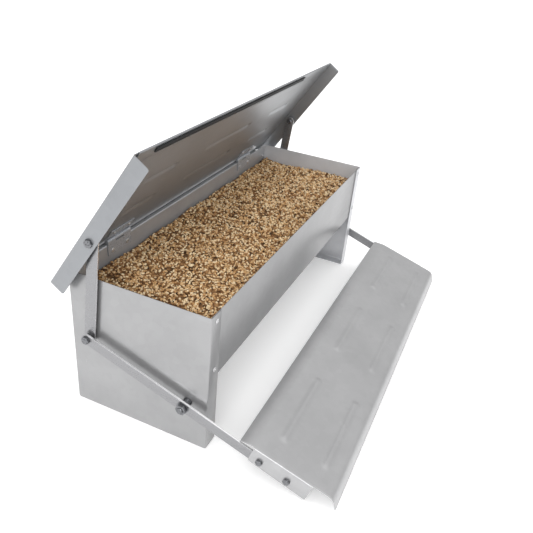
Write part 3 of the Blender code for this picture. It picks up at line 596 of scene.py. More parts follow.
# --- the feed box -------------------------------------------------------------------------
@dataclass
class FeedBox:
    """The folded box: two side panels, the front wall with its sloping floor, the back panel."""

    finish: bpy.types.Material
    # The far side, wall and back finishes are copies of the sheet painted lighter or darker: painted light and
    # shade.
    far_finish: bpy.types.Material
    wall_finish: bpy.types.Material
    back_finish: bpy.types.Material
    flange_rear: float = 18.0 * MM
    flange_front: float = 23.0 * MM
    foot: float = 20.0 * MM
    front_drop: float = 96.0 * MM
    floor_end: float = 12.0 * MM
    upstand: float = 10.0 * MM
    back_hem: float = 6.2 * MM
    hinge_room: float = 40 * MM

    def side_panel(self, side: Side) -> Piece:
        """Fold one side panel: a flat plate with front, rear and foot flanges turned in."""
        node = f"side_panel_{side.word}"
        low, high = RIG.span(node)
        half, bend = RIG.sheet / 2, RIG.bend
        x = (low.x if side is Side.LEFT else high.x) - side.value * half
        y0, y1 = low.y + half + bend, high.y - half - bend
        z0 = low.z + half + bend
        obj = start(f"side_panel_{side.word}_sheet", Blank.SHEET, (1, y1 - y0, high.z - z0), size=1,
                    location=(x, (y0 + y1) / 2, (z0 + high.z) / 2), rotation=(0, QUARTER, 0))
        turn = side.value
        inward = Vector((-turn, 0, 0))
        tail = [self.flange_front - bend - half, self.flange_rear - bend - half, self.foot - bend - half]
        pick(obj, Kind.EDGES, lambda p: p.y < y0 + 1e-5)
        fold(Vector((x, y0, 0)) + inward * bend, Vector((0, 0, turn)), -QUARTER, inward * tail[0])
        pick(obj, Kind.EDGES, lambda p: abs(p.y - y1) < 1e-5)
        fold(Vector((x, y1, 0)) + inward * bend, Vector((0, 0, turn)), QUARTER, inward * tail[1])
        pick(obj, Kind.EDGES, lambda p: abs(p.z - z0) < 1e-5 and y0 - 1e-5 < p.y < y1 + 1e-5
             and abs(p.x - x) < 1e-5)
        fold(Vector((x, 0, z0)) + inward * bend, Vector((0, turn, 0)), QUARTER, inward * tail[2])
        wall(obj, RIG.sheet)
        # The far panel wears the copy painted lighter: painted light on its inner face.
        finish = self.finish if side is Side.LEFT else self.far_finish
        return finish_piece(obj, finish, "feed_box", [node])

    def trough(self) -> Piece:
        """Fold the front wall, the sloping floor and its upstand from one sheet."""
        node = "front_wall_and_floor"
        low, high = RIG.span(node)
        half, bend = RIG.sheet / 2, RIG.bend
        y0, y1 = low.y + half, high.y - half
        z_fold = RIG.rim() - self.front_drop
        slope = math.atan2(z_fold - self.floor_end, y1 - y0)
        first, second = QUARTER - slope, QUARTER + slope
        set_front, set_back = bend * math.tan(first / 2), bend * math.tan(second / 2)
        length = math.hypot(y1 - y0, z_fold - self.floor_end) - set_front - set_back
        z0 = z_fold + set_front
        obj = start("front_wall_and_sloping_floor", Blank.SHEET, (high.x - low.x, 1, high.z - z0), size=1,
                    location=((low.x + high.x) / 2, y0, (z0 + high.z) / 2), rotation=(QUARTER, 0, 0))
        pick(obj, Kind.EDGES, lambda p: p.z < z0 + 1e-5)
        down = Vector((0, math.cos(slope), -math.sin(slope)))
        up = Vector((0, math.sin(slope), math.cos(slope)))
        fold(Vector((0, y0 + bend, z0)), Vector((1, 0, 0)), first, down * length)
        end = Vector((0, y0 + bend, z0)) - up * bend + down * length
        fold(end + up * bend, Vector((1, 0, 0)), second, Vector((0, 0, self.upstand)))
        wall(obj, RIG.sheet)
        # The front wall wears the copy painted darker: painted shade.
        return finish_piece(obj, self.wall_finish, "feed_box", [node])

    def back_panel(self) -> Piece:
        """Fold the back panel, with its narrow outward flange between the hinges."""
        node = "back_panel"
        low, high = RIG.span(node)
        half, bend = RIG.sheet / 2, RIG.bend
        y = low.y + half
        z1 = high.z - half - bend
        end = high.x - self.hinge_room
        obj = start("back_panel_sheet", Blank.SHEET, (high.x - low.x, 1, z1 - low.z), size=1,
                    location=(0, y, (low.z + z1) / 2), rotation=(QUARTER, 0, 0))
        for x in (-end, end):
            bisect(obj, Vector((x, 0, 0)), Vector((1, 0, 0)))
        pick(obj, Kind.EDGES, lambda p: abs(p.z - z1) < 1e-5 and abs(p.x) < end + 1e-5)
        fold(Vector((0, y + bend, z1)), Vector((1, 0, 0)), -QUARTER,
             Vector((0, self.back_hem - bend - half, 0)))
        for turn in (-1, 1):
            pick(obj, Kind.EDGES, lambda p: abs(p.z - z1) < 1e-5 and abs(p.y - y) < 1e-5
                 and turn * p.x > end - 1e-5)
            push((0, 0, bend))
        wall(obj, RIG.sheet)
        # The back panel wears the copy painted lighter: painted light.
        return finish_piece(obj, self.back_finish, "feed_box", [node])

    def build(self) -> None:
        """Make the whole box."""
        for side in Side:
            self.side_panel(side)
        self.trough()
        self.back_panel()


# --- the lid ------------------------------------------------------------------------------
@dataclass
class Lid:
    """The lid shell and the rubber strip under its front hem."""

    finish: bpy.types.Material
    rubber: bpy.types.Material
    front: float = 203.4 * MM
    rear: float = 29.0 * MM
    under: float = 3.3 * MM
    flange: float = 22.3 * MM
    hem: float = 19.0 * MM
    hem_inset: float = 3.1 * MM
    corner: float = 3.0 * MM
    bead_rows: tuple[float, ...] = (-61.0 * MM, -123.0 * MM)
    bead_spans: tuple[tuple[float, float], ...] = ((-0.220, -0.145), (-0.070, 0.070), (0.145, 0.220))
    bead_width: float = 11.0 * MM
    bead_height: float = 2.2 * MM
    seal_width: float = 7.0 * MM
    seal_thickness: float = 2.0 * MM
    seal_inset: float = 3.0 * MM
    groove_depth: float = 0.5 * MM

    def shell(self) -> Piece:
        """Fold the lid: flat hems front and rear, side flanges down, beads pressed out."""
        low, high = RIG.span("lid_shell")
        half, bend = RIG.sheet / 2, RIG.bend
        fold_r = half + RIG.gap
        z = self.under + half
        flat = high.x - half - bend
        y0, y1 = -(self.front - half - fold_r), self.rear - half - fold_r
        obj = start("lid_sheet", Blank.FINE_SHEET, (2 * flat, y1 - y0, 1), x_subdivisions=200,
                    y_subdivisions=78, size=1, location=(0, (y0 + y1) / 2, z))
        inset = flat - self.hem_inset
        for y, out in ((y0, -1), (y1, 1)):
            pick(obj, Kind.EDGES, lambda p: abs(p.y - y) < 1e-5 and abs(p.x) < inset)
            fold(Vector((0, y, z - fold_r)), Vector((1, 0, 0)), -out * math.pi,
                 Vector((0, -out * (self.hem - fold_r - half), 0)), steps=6)
        for side in Side:
            s = side.value
            pick(obj, Kind.EDGES, lambda p: s * p.x > flat - 1e-5)
            fold(Vector((s * flat, 0, z - bend)), Vector((0, s, 0)), QUARTER,
                 Vector((0, 0, -(self.flange - half - bend))))
            edge_z = z - bend - (self.flange - half - bend)
            pick(obj, Kind.VERTS, lambda p: abs(p.z - edge_z) < 1e-5 and s * p.x > flat
                 and (p.y < y0 + 1e-5 or p.y > y1 - 1e-5))
            bpy.ops.mesh.bevel(offset=self.corner, segments=5, affect="VERTICES")
        bm = bmesh.from_edit_mesh(obj.data)
        for vert in bm.verts:
            if abs(vert.co.z - z) < 1e-6:
                vert.co.z += bead_rise(vert.co.x, vert.co.y, self.bead_rows, self.bead_spans,
                                       self.bead_width, self.bead_height)
        bmesh.update_edit_mesh(obj.data)
        wall(obj, RIG.sheet)
        place(obj, RIG.lid_space())
        # The lid wears the copy painted darker: painted shade.
        return finish_piece(obj, self.finish, "lid", ["lid_shell"])

    def seal(self) -> Piece:
        """The rubber strip: a flat extrusion with two soft ribs along its lower face."""
        low, high = RIG.span("lid_seal_strip")
        width, thick = self.seal_width, self.seal_thickness
        top = self.under + RIG.sheet / 2 - 2 * (RIG.sheet / 2 + RIG.gap) - RIG.sheet / 2 - RIG.gap
        y = -(self.front - self.seal_inset) + width / 2
        obj = start("lid_rubber_strip", Blank.BLOCK, (high.x - low.x, width, thick), size=1,
                    location=(0, y, top - thick / 2))
        bpy.ops.transform.translate(value=((low.x + high.x) / 2, 0, 0))
        for offset in (-2.0, -0.6, 0.6, 2.0):
            bisect(obj, Vector((0, y + offset * MM, 0)), Vector((0, 1, 0)))
        pick(obj, Kind.FACES, lambda p: p.z < top - thick + 1e-5 and abs(p.y - y) < 0.7 * MM)
        bpy.ops.transform.translate(value=(0, 0, self.groove_depth))
        leave_edit()
        soft_edges(obj, 0.45 * MM, segments=3, angle=25.0)
        place(obj, RIG.lid_space())
        return finish_piece(obj, self.rubber, "lid", ["lid_seal_strip"])

    def build(self) -> None:
        """Make the lid's pieces."""
        self.shell()
        self.seal()


# --- the pedal and its levers -------------------------------------------------------------
@dataclass
class Pedal:
    """The pressed foot plate and the levers that carry it."""

    finish: bpy.types.Material
    bar_finish: bpy.types.Material
    rear: float = 99.0 * MM
    front: float = 200.0 * MM
    tab_front: float = 180.5 * MM
    height: float = 16.0 * MM
    tilt: float = math.radians(2.0)
    tab_drop: float = 9.2 * MM
    rear_lip: float = 16.5 * MM
    rear_turn: float = math.radians(13)
    rear_radius: float = 12 * MM
    front_lip: float = 9.5 * MM
    front_turn: float = math.radians(58)
    front_radius: float = 13 * MM
    corner: float = 3.0 * MM
    arm_width: float = 15.0 * MM
    arm_front: float = (178.0 - 7.5) * MM
    link_width: float = 16.0 * MM
    bead_width: float = 12.5 * MM
    bead_height: float = 2.2 * MM
    bead_rows: tuple[float, ...] = (25.0 * MM, 84.0 * MM)
    bead_spans: tuple[tuple[float, float], ...] = ((-0.271, -0.138), (-0.066, 0.066), (0.138, 0.271))

    def plate(self) -> Piece:
        """Press the foot plate: beads, a curved front lip, a turned rear lip and two tabs."""
        low, high = RIG.span("pedal_plate")
        half, bend = RIG.sheet / 2, RIG.bend
        flat = high.x - half - bend
        middle = (self.rear + self.tab_front) / 2
        y1, y0, y_tab = middle - self.rear, middle - self.front, middle - self.tab_front
        obj = start("pedal_sheet", Blank.FINE_SHEET, (2 * flat, y1 - y0, 1), x_subdivisions=200,
                    y_subdivisions=36, size=1, location=(0, (y0 + y1) / 2, 0))
        bisect(obj, Vector((0, y_tab, 0)), Vector((0, 1, 0)))
        rows = [y1 - row for row in self.bead_rows]
        pick(obj, Kind.EDGES, lambda p: p.y < y0 + 1e-5)
        angle = self.front_turn
        tail = Vector((0, -math.cos(angle), -math.sin(angle))) * self.front_lip
        fold(Vector((0, y0, -self.front_radius)), Vector((1, 0, 0)), angle, tail, steps=10)
        pick(obj, Kind.EDGES, lambda p: p.y > y1 - 1e-5)
        angle = self.rear_turn
        tail = Vector((0, math.cos(angle), -math.sin(angle))) * self.rear_lip
        fold(Vector((0, y1, -self.rear_radius)), Vector((1, 0, 0)), -angle, tail, steps=4)
        for side in Side:
            s = side.value
            pick(obj, Kind.EDGES, lambda p: s * p.x > flat - 1e-5 and y_tab - 1e-5 < p.y < y1 + 1e-5
                 and abs(p.z) < 1e-6)
            fold(Vector((s * flat, 0, -bend)), Vector((0, s, 0)), QUARTER,
                 Vector((0, 0, -(self.height + self.tab_drop - bend))))
        bm = bmesh.from_edit_mesh(obj.data)
        for vert in bm.verts:
            if abs(vert.co.z) < 1e-6:
                vert.co.z += bead_rise(vert.co.x, vert.co.y, rows, self.bead_spans,
                                       self.bead_width, self.bead_height)
        lowest = min(v.co.z for v in bm.verts if abs(v.co.x) > flat + bend / 2)
        ends = [v for v in bm.verts if v.co.z < lowest + 1e-5 and abs(v.co.x) > flat + bend / 2]
        local = Matrix.Translation((0, -middle, self.height)) @ Matrix.Rotation(-self.tilt, 4, "X")
        bmesh.ops.transform(bm, matrix=local, verts=bm.verts)
        for vert in ends:
            vert.co.z = -self.tab_drop
        bmesh.update_edit_mesh(obj.data)
        first, last = min(v.co.y for v in ends), max(v.co.y for v in ends)
        pick(obj, Kind.VERTS, lambda p: abs(p.z + self.tab_drop) < 1e-6
             and (p.y < first + 1e-4 or p.y > last - 1e-4))
        bpy.ops.mesh.bevel(offset=self.corner, segments=5, affect="VERTICES")
        wall(obj, RIG.sheet)
        place(obj, RIG.arm_space())
        # The plate wears the copy painted lighter: painted light.
        return finish_piece(obj, self.finish, "treadle", ["pedal_plate"])

    def bar(self, name: str, node: str, body: str, width: float, ends: tuple[Vector, Vector]) -> Piece:
        """Model a flat bar with round ends between two points.

        Args:
            name: the piece's name.
            node: the node it replaces, which gives its thickness and place in X.
            body: what it moves with.
            width: across the bar.
            ends: the centres of its two round ends.

        Returns:
            The bar.
        """
        low, high = RIG.span(node)
        along = ends[1] - ends[0]
        length = along.length + width
        tilt = math.atan2(along.z, along.y)
        obj = start(name, Blank.BLOCK, (high.x - low.x, length, width), size=1)
        pick(obj, Kind.EDGES, lambda p: False)
        bm = bmesh.from_edit_mesh(obj.data)
        for edge in bm.edges:
            edge.select_set(abs(edge.verts[0].co.x - edge.verts[1].co.x) > 1e-6)
        bmesh.update_edit_mesh(obj.data)
        bpy.ops.mesh.bevel(offset=width * 0.495, segments=14, affect="EDGES")
        leave_edit()
        soft_edges(obj, 0.35 * MM, segments=3, angle=60.0)
        middle = (ends[0] + ends[1]) / 2
        middle.x = (low.x + high.x) / 2
        place(obj, Matrix.Translation(middle) @ Matrix.Rotation(tilt, 4, "X"))
        return finish_piece(obj, self.bar_finish, body, [node])

    def levers(self, side: Side) -> None:
        """The arm and the link of one side."""
        word = side.word
        pivot, knee = RIG.joint("treadle"), RIG.joint(f"{word}_link_pivot")
        front = pivot + (pivot - knee).normalized() * self.arm_front
        self.bar(f"treadle_arm_{word}", f"arm_{word}", "treadle", self.arm_width, (front, knee))
        low, high = RIG.span(f"link_{word}")
        radius = self.link_width / 2
        behind = (high.y + low.y) / 2 < knee.y
        head = Vector((0, low.y + radius if behind else high.y - radius, high.z - radius))
        self.bar(f"lid_link_{word}", f"link_{word}", f"{word}_link", self.link_width, (knee.copy(), head))

    def build(self) -> None:
        """Make the plate and the levers."""
        self.plate()
        for side in Side:
            self.levers(side)


# --- feed ---------------------------------------------------------------------------------
@dataclass
class Feed:
    """Loose grain that fills the box to just under its rim."""

    finish: bpy.types.Material
    box: FeedBox
    below_rim: float = 27.0 * MM
    clear: float = 0.8 * MM
    over_floor: float = 2.5 * MM
    heel: float = 2 * MM
    bed_depth: float = 0.05
    edge: float = 2.4 * MM
    grains: int = 12600
    half_length_mm: tuple[float, float] = (1.9, 3.0)
    lift_mm: tuple[float, float] = (-1.8, 1.6)
    lean: float = 0.6
    tone_middle: float = 0.70
    tone_spread: float = 0.36
    seed: int = 11

    def level(self, x: np.ndarray, y: np.ndarray) -> np.ndarray:
        """The height of the feed's surface over the box, softly uneven."""
        ripple = 1.6 * np.sin(x * 23 + 1.3) * np.cos(y * 31 - 0.4)
        return (ripple + 1.1 * np.sin(x * 61 + y * 47)) * MM

    def bed(self, low: Vector, high: Vector, floor: Callable[[float], float]) -> Piece:
        """The body of the feed, from the sloping floor to the surface."""
        middle = ((low.x + high.x) / 2, (low.y + high.y) / 2, high.z)
        obj = start("feed_bed", Blank.FINE_SHEET, (high.x - low.x, high.y - low.y, 1),
                    x_subdivisions=150, y_subdivisions=50, size=1, location=middle)
        bpy.ops.mesh.select_all(action="SELECT")
        push((0, 0, -self.bed_depth))
        bm = bmesh.from_edit_mesh(obj.data)
        rng = np.random.default_rng(self.seed)
        for vert in bm.verts:
            if vert.co.z < high.z - 0.02:
                vert.co.z = floor(vert.co.y)
            else:
                wave = float(self.level(np.array(vert.co.x), np.array(vert.co.y)))
                vert.co.z = high.z + wave - 1.0 * MM + rng.normal(0, 0.5) * MM
        bmesh.update_edit_mesh(obj.data)
        bpy.ops.mesh.select_all(action="SELECT")
        bpy.ops.mesh.normals_make_consistent(inside=False)
        leave_edit()
        # The bed takes only the darkest grain tones, 0 to 0.35: painted shade where it shows in the gaps between
        # the grains.
        tone = obj.data.attributes.new("grain_tone", "FLOAT", "POINT")
        tone.data.foreach_set("value", rng.uniform(0.0, 0.35, len(obj.data.vertices)))
        bpy.ops.object.shade_smooth()
        return finish_piece(obj, self.finish, "feed_box")

    def kernel(self) -> tuple[np.ndarray, np.ndarray]:
        """Model one kernel: a low ball, flattened and pinched at one end."""
        obj = start("kernel", Blank.BALL, (1.0, 0.62, 0.50), subdivisions=1, radius=1.0)
        pick(obj, Kind.VERTS, lambda p: p.x > 0.5)
        bpy.ops.transform.resize(value=(1.0, 0.62, 0.62))
        leave_edit()
        points = np.array([v.co for v in obj.data.vertices])
        faces = np.array([list(p.vertices) for p in obj.data.polygons])
        bpy.data.objects.remove(obj, do_unlink=True)
        return points, faces

    def scatter(self, name: str, low: Vector, high: Vector, count: int, seed: int) -> Piece:
        """Strew copies of the kernel over the bed, each turned, sized and toned by itself."""
        points, faces = self.kernel()
        rng = np.random.default_rng(seed)
        x = rng.uniform(low.x + self.edge, high.x - self.edge, count)
        y = rng.uniform(low.y + self.edge, high.y - self.edge, count)
        z = high.z + self.level(x, y) + rng.uniform(*self.lift_mm, count) * MM
        length = rng.uniform(*self.half_length_mm, count) * MM
        yaw, pitch, roll = (rng.uniform(-a, a, count) for a in (math.pi, self.lean, math.pi))
        cy, sy, cp, sp = np.cos(yaw), np.sin(yaw), np.cos(pitch), np.sin(pitch)
        cr, sr = np.cos(roll), np.sin(roll)
        turn = np.array([
            [cy * cp, cy * sp * sr - sy * cr, cy * sp * cr + sy * sr],
            [sy * cp, sy * sp * sr + cy * cr, sy * sp * cr - cy * sr],
            [-sp, cp * sr, cp * cr],
        ]).transpose(2, 0, 1)
        shaped = np.einsum("nij,kj->nki", turn, points) * length[:, None, None]
        shaped += np.stack([x, y, z], axis=1)[:, None, :]
        numbers = faces[None] + (np.arange(count) * len(points))[:, None, None]
        mesh = bpy.data.meshes.new(name)
        mesh.from_pydata(shaped.reshape(-1, 3).tolist(), [], numbers.reshape(-1, 3).tolist())
        tone = mesh.attributes.new("grain_tone", "FLOAT", "POINT")
        shade = np.clip(rng.normal(self.tone_middle, self.tone_spread, count), 0.0, 1.0)
        tone.data.foreach_set("value", np.repeat(shade, len(points)))
        obj = bpy.data.objects.new(name, mesh)
        bpy.context.scene.collection.objects.link(obj)
        mesh.polygons.foreach_set("use_smooth", [True] * len(mesh.polygons))
        return finish_piece(obj, self.finish, "feed_box")

    def build(self) -> None:
        """Fill the box."""
        trough_low, trough_high = RIG.span("front_wall_and_floor")
        skin = RIG.sheet + self.clear
        low = Vector((trough_low.x + self.clear, trough_low.y + skin, 0.0))
        high = Vector((trough_high.x - self.clear, trough_high.y - skin, RIG.rim() - self.below_rim))
        fold_z = RIG.rim() - self.box.front_drop
        drop = (fold_z - self.box.floor_end) / (trough_high.y - trough_low.y - RIG.sheet)

        def floor(y: float) -> float:
            """The height of the bed's underside, a little over the sloping floor."""
            return fold_z + self.over_floor - drop * max(0.0, min(y, high.y - self.heel) - trough_low.y)

        self.bed(low, high, floor)
        share = self.grains // 2
        for number in (1, 2):
            self.scatter(f"feed_grains_{number}", low, high, share, self.seed + number)


# --- fasteners ----------------------------------------------------------------------------
@dataclass(frozen=True)
class Thread:
    """A fastener's stock size: thread radius and pitch, width across flats, head height."""

    radius: float
    pitch: float
    flats: float
    head: float


M8 = Thread(3.8 * MM, 1.25 * MM, 13.0 * MM, 4.8 * MM)
M6 = Thread(2.8 * MM, 1.0 * MM, 10.0 * MM, 3.2 * MM)
M5 = Thread(2.3 * MM, 0.8 * MM, 8.0 * MM, 2.8 * MM)


@dataclass
class Fasteners:
    """Every bolt, nut, washer, spacer, stud and rivet; each kind is modelled once and copied."""

    finish: bpy.types.Material
    rivet_finish: bpy.types.Material
    chamfer: float = 0.55 * MM
    rivet_head: float = 3.4 * MM
    rivet_rise: float = 1.0 * MM
    rivet_core: float = 1.1 * MM
    lid_sheet_top: float = 4.4 * MM
    stud_head: float = 2.88 * MM
    masters: dict[str, Piece] = field(default_factory=dict)

    def drum(self, name: str, radius: float, low: float, high: float, sides: int = 40) -> Piece:
        """Start a round or six-sided body along X between two places, in edit mode."""
        return start(name, Blank.DRUM, vertices=sides, radius=radius, depth=high - low,
                     location=((low + high) / 2, 0, 0), rotation=(0, QUARTER, 0))

    def cut(self, obj: Piece, tool: Piece, how: str) -> None:
        """Apply an exact Boolean and discard its tool."""
        step = obj.modifiers.new(how.lower(), "BOOLEAN")
        step.operation = how
        step.object = tool
        bpy.context.view_layer.objects.active = obj
        bpy.ops.object.modifier_apply(modifier=step.name)
        bpy.data.objects.remove(tool, do_unlink=True)

    def hexagon(self, name: str, size: Thread, bore: float = 0.0) -> Piece:
        """Model a hexagon whose corners are turned off, from x = 0 to its height along +X.

        Args:
            name: the piece's name.
            size: its stock size.
            bore: the radius of a hole through it, or nothing for a bolt's head.

        Returns:
            The hexagon, out of edit mode.
        """
        corner = size.flats / math.sqrt(3)
        turned = self.drum(name + "_turning", corner, 0.0, size.head, 64)
        pick(turned, Kind.FACES, lambda p: p.x > size.head - 1e-6)
        bpy.ops.mesh.inset(thickness=corner - size.flats * 0.475)
        pick(turned, Kind.VERTS, lambda p: p.x > size.head - 1e-6
             and math.hypot(p.y, p.z) > corner * 0.99)
        bpy.ops.transform.translate(value=(-self.chamfer, 0, 0))
        leave_edit()
        obj = self.drum(name, corner, 0.0, size.head, 6)
        leave_edit()
        self.cut(obj, turned, "INTERSECT")
        if bore:
            hole = self.drum(name + "_hole", bore, -size.head, size.head * 2)
            leave_edit()
            self.cut(obj, hole, "DIFFERENCE")
        return obj

    def shank(self, name: str, size: Thread, length: float) -> Piece:
        """Model a threaded shank from x = 0 to -length: a row of small ridges, one per pitch."""
        obj = self.drum(name, size.radius, -0.3 * size.pitch, 0.3 * MM, 32)
        turns = int((length - 0.6 * MM) / size.pitch)
        depth = size.pitch * 0.22 / size.radius
        pick(obj, Kind.FACES, lambda p: p.x < 0)
        for _ in range(turns):
            for step, ratio in ((0.5, 1.0 - depth), (0.5, 1.0 / (1.0 - depth))):
                push((-size.pitch * step, 0, 0))
                bpy.ops.transform.resize(value=(1, ratio, ratio))
        push((-(length - 0.3 * size.pitch - turns * size.pitch), 0, 0))
        bpy.ops.transform.resize(value=(1, 0.8, 0.8))
        leave_edit()
        return obj

    def finish_master(self, kind: str, pieces: Sequence[Piece], edge_mm: float = 0.12) -> Piece:
        """Join a master's bodies, break its edges and keep it until it is copied."""
        deselect_everything()
        for piece in pieces:
            piece.select_set(True)
        bpy.context.view_layer.objects.active = pieces[0]
        if len(pieces) > 1:
            bpy.ops.object.join()
        soft_edges(pieces[0], edge_mm * MM, segments=2, angle=32.0)
        self.masters[kind] = pieces[0]
        return pieces[0]

    def bolt(self, kind: str, size: Thread, length: float) -> Piece:
        """A hexagon bolt: its head on +X, its shank on -X."""
        pieces = [self.hexagon(kind, size), self.shank(kind + "_shank", size, length)]
        return self.finish_master(kind, pieces)

    def stud(self, kind: str, length: float) -> Piece:
        """A button-headed stud: a low dome on +X with a driving recess, its shank on -X."""
        obj = self.drum(kind, M6.flats / 2, 0.0, self.stud_head * 0.5)
        pick(obj, Kind.FACES, lambda p: p.x > self.stud_head * 0.5 - 1e-6)
        for rise, ratio in ((0.3, 0.86), (0.2, 0.72)):
            push((self.stud_head * rise, 0, 0))
            bpy.ops.transform.resize(value=(1, ratio, ratio))
        bpy.ops.mesh.inset(thickness=1.0 * MM)
        push((-self.stud_head * 0.4, 0, 0))
        leave_edit()
        return self.finish_master(kind, [obj, self.shank(kind + "_shank", M6, length - self.stud_head)])

    def ring(self, kind: str, outer: float, bore: float, height: float) -> Piece:
        """A washer or spacer along +X."""
        obj = self.drum(kind, outer, 0.0, height, 48)
        leave_edit()
        hole = self.drum(kind + "_hole", bore, -height, height * 2)
        leave_edit()
        self.cut(obj, hole, "DIFFERENCE")
        return self.finish_master(kind, [obj], 0.18)

    def rivet(self, kind: str, tail: float) -> Piece:
        """A blind rivet: domed head on +X with the broken stem sunk in it, its tail on -X."""
        top = self.rivet_rise * 0.3
        obj = self.drum(kind, self.rivet_head, 0.0, top)
        pick(obj, Kind.FACES, lambda p: p.x > top - 1e-6)
        for rise, ratio in ((0.3, 0.9), (0.25, 0.82), (0.15, 0.68)):
            push((self.rivet_rise * rise, 0, 0))
            bpy.ops.transform.resize(value=(1, ratio, ratio))
        bpy.ops.mesh.inset(thickness=0.35 * MM)
        push((-self.rivet_rise * 0.45, 0, 0))
        pick(obj, Kind.FACES, lambda p: p.x < 1e-6)
        bpy.ops.mesh.inset(thickness=self.rivet_head - 1.6 * MM)
        push((-tail + self.rivet_core, 0, 0))
        push((0, 0, 0))
        bpy.ops.transform.resize(value=(1, 1.6, 1.6))
        push((-self.rivet_core, 0, 0))
        bpy.ops.transform.resize(value=(1, 0.7, 0.7))
        leave_edit()
        return self.finish_master(kind, [obj])

    def copy(self, kind: str, node: str, space: Matrix, finish: bpy.types.Material) -> None:
        """Put one copy of a kind in a node's place, riding on that node's body."""
        obj = self.masters[kind].copy()
        obj.data = self.masters[kind].data.copy()
        obj.name = obj.data.name = f"{kind}_{node}"
        bpy.context.scene.collection.objects.link(obj)
        place(obj, space)
        bodies = frame["record"]["behaviour"]["bodies"]
        body = next(name for name, rows in bodies.items() if node in rows)
        finish_piece(obj, finish, body, [node])

    def across(self, kind: str, node: str, toward: int, back: float) -> None:
        """Copy a kind onto a node whose axis is X.

        Args:
            kind: the master's name.
            node: the node it replaces.
            toward: the sign of X that its head or outer face looks to.
            back: how far its x = 0 lies behind the node's end on that side.
        """
        low, high = RIG.span(node)
        end = high.x if toward > 0 else low.x
        centre = Vector((end - toward * back, (low.y + high.y) / 2, (low.z + high.z) / 2))
        turn = Matrix.Identity(4) if toward > 0 else Matrix.Rotation(math.pi, 4, "Z")
        self.copy(kind, node, Matrix.Translation(centre) @ turn, self.finish)

    def length(self, node: str) -> float:
        """How long a node is along X."""
        low, high = RIG.span(node)
        return high.x - low.x

    def build(self) -> None:
        """Model the kinds, then copy them to both sides."""
        for kind, node, size in (
            ("pivot_bolt", "pivot_bolt_left", M8), ("lower_bolt", "link_bolt_lower_left", M6),
            ("upper_bolt", "link_bolt_upper_left", M6), ("pedal_bolt", "pedal_bolt_left_front", M5),
        ):
            self.bolt(kind, size, self.length(node) - size.head)
        for kind, size in (("m8_nut", M8), ("m6_nut", M6), ("m5_nut", M5)):
            self.finish_master(kind, [self.hexagon(kind, size, size.radius + RIG.gap)])
        for kind, outer, size in (("pivot_washer", 8.0 * MM, M8), ("pivot_spacer", 6.0 * MM, M8),
                                  ("link_spacer", 5.0 * MM, M6)):
            self.ring(kind, outer, size.radius + RIG.gap, self.length(f"{kind}_left"))
        self.rivet("sheet_rivet", 4.0 * MM)
        self.stud("stud", self.length("link_stud_upper_left"))
        for side in Side:
            word, out = side.word, side.value
            self.across("pivot_bolt", f"pivot_bolt_{word}", -out, M8.head)
            self.across("m8_nut", f"pivot_nut_{word}", out, M8.head)
            for kind in ("pivot_washer", "pivot_spacer", "link_spacer"):
                self.across(kind, f"{kind}_{word}", out, self.length(f"{kind}_left"))
            self.across("lower_bolt", f"link_bolt_lower_{word}", out, M6.head)
            self.across("m6_nut", f"link_nut_lower_{word}", -out, M6.head)
            self.across("upper_bolt", f"link_bolt_upper_{word}", out, M6.head)
            self.across("stud", f"link_stud_upper_{word}", -out, self.stud_head)
            for end in ("front", "rear"):
                self.across("pedal_bolt", f"pedal_bolt_{word}_{end}", out, M5.head)
                self.across("m5_nut", f"pedal_nut_{word}_{end}", -out, M5.head)
            self.rivets(word)
        for master in self.masters.values():
            bpy.data.objects.remove(master, do_unlink=True)

    def rivets(self, word: str) -> None:
        """Put the rivets of one side in their places: heads out on the box and on the lid."""
        for node, toward in ((f"front_rivet_{word}_upper", -1), (f"front_rivet_{word}_lower", -1),
                             (f"rear_rivet_{word}_upper", 1), (f"rear_rivet_{word}_lower", 1),
                             (f"hinge_rivet_back_{word}_a", -1), (f"hinge_rivet_back_{word}_b", -1)):
            low, high = RIG.span(node)
            end = high.y if toward > 0 else low.y
            centre = Vector(((low.x + high.x) / 2, end - toward * self.rivet_rise, (low.z + high.z) / 2))
            turn = Matrix.Rotation(QUARTER * toward, 4, "Z")
            self.copy("sheet_rivet", node, Matrix.Translation(centre) @ turn, self.rivet_finish)
        for which in ("a", "b"):
            node = f"hinge_rivet_lid_{word}_{which}"
            low, high = RIG.span(node)
            local = RIG.lid_space().inverted() @ ((low + high) / 2)
            local.z = self.lid_sheet_top
            turn = Matrix.Rotation(-QUARTER, 4, "Y")
            self.copy("sheet_rivet", node, RIG.lid_space() @ Matrix.Translation(local) @ turn,
                      self.rivet_finish)


# --- carried-over nodes -------------------------------------------------------------------
def dress_hinges(finish: bpy.types.Material) -> None:
    """Give the hinge leaves and pins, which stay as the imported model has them, their finish."""
    for name, obj in frame["nodes"].items():
        if name.startswith(("hinge_leaf", "hinge_pin")):
            obj.data.materials.clear()
            obj.data.materials.append(finish)


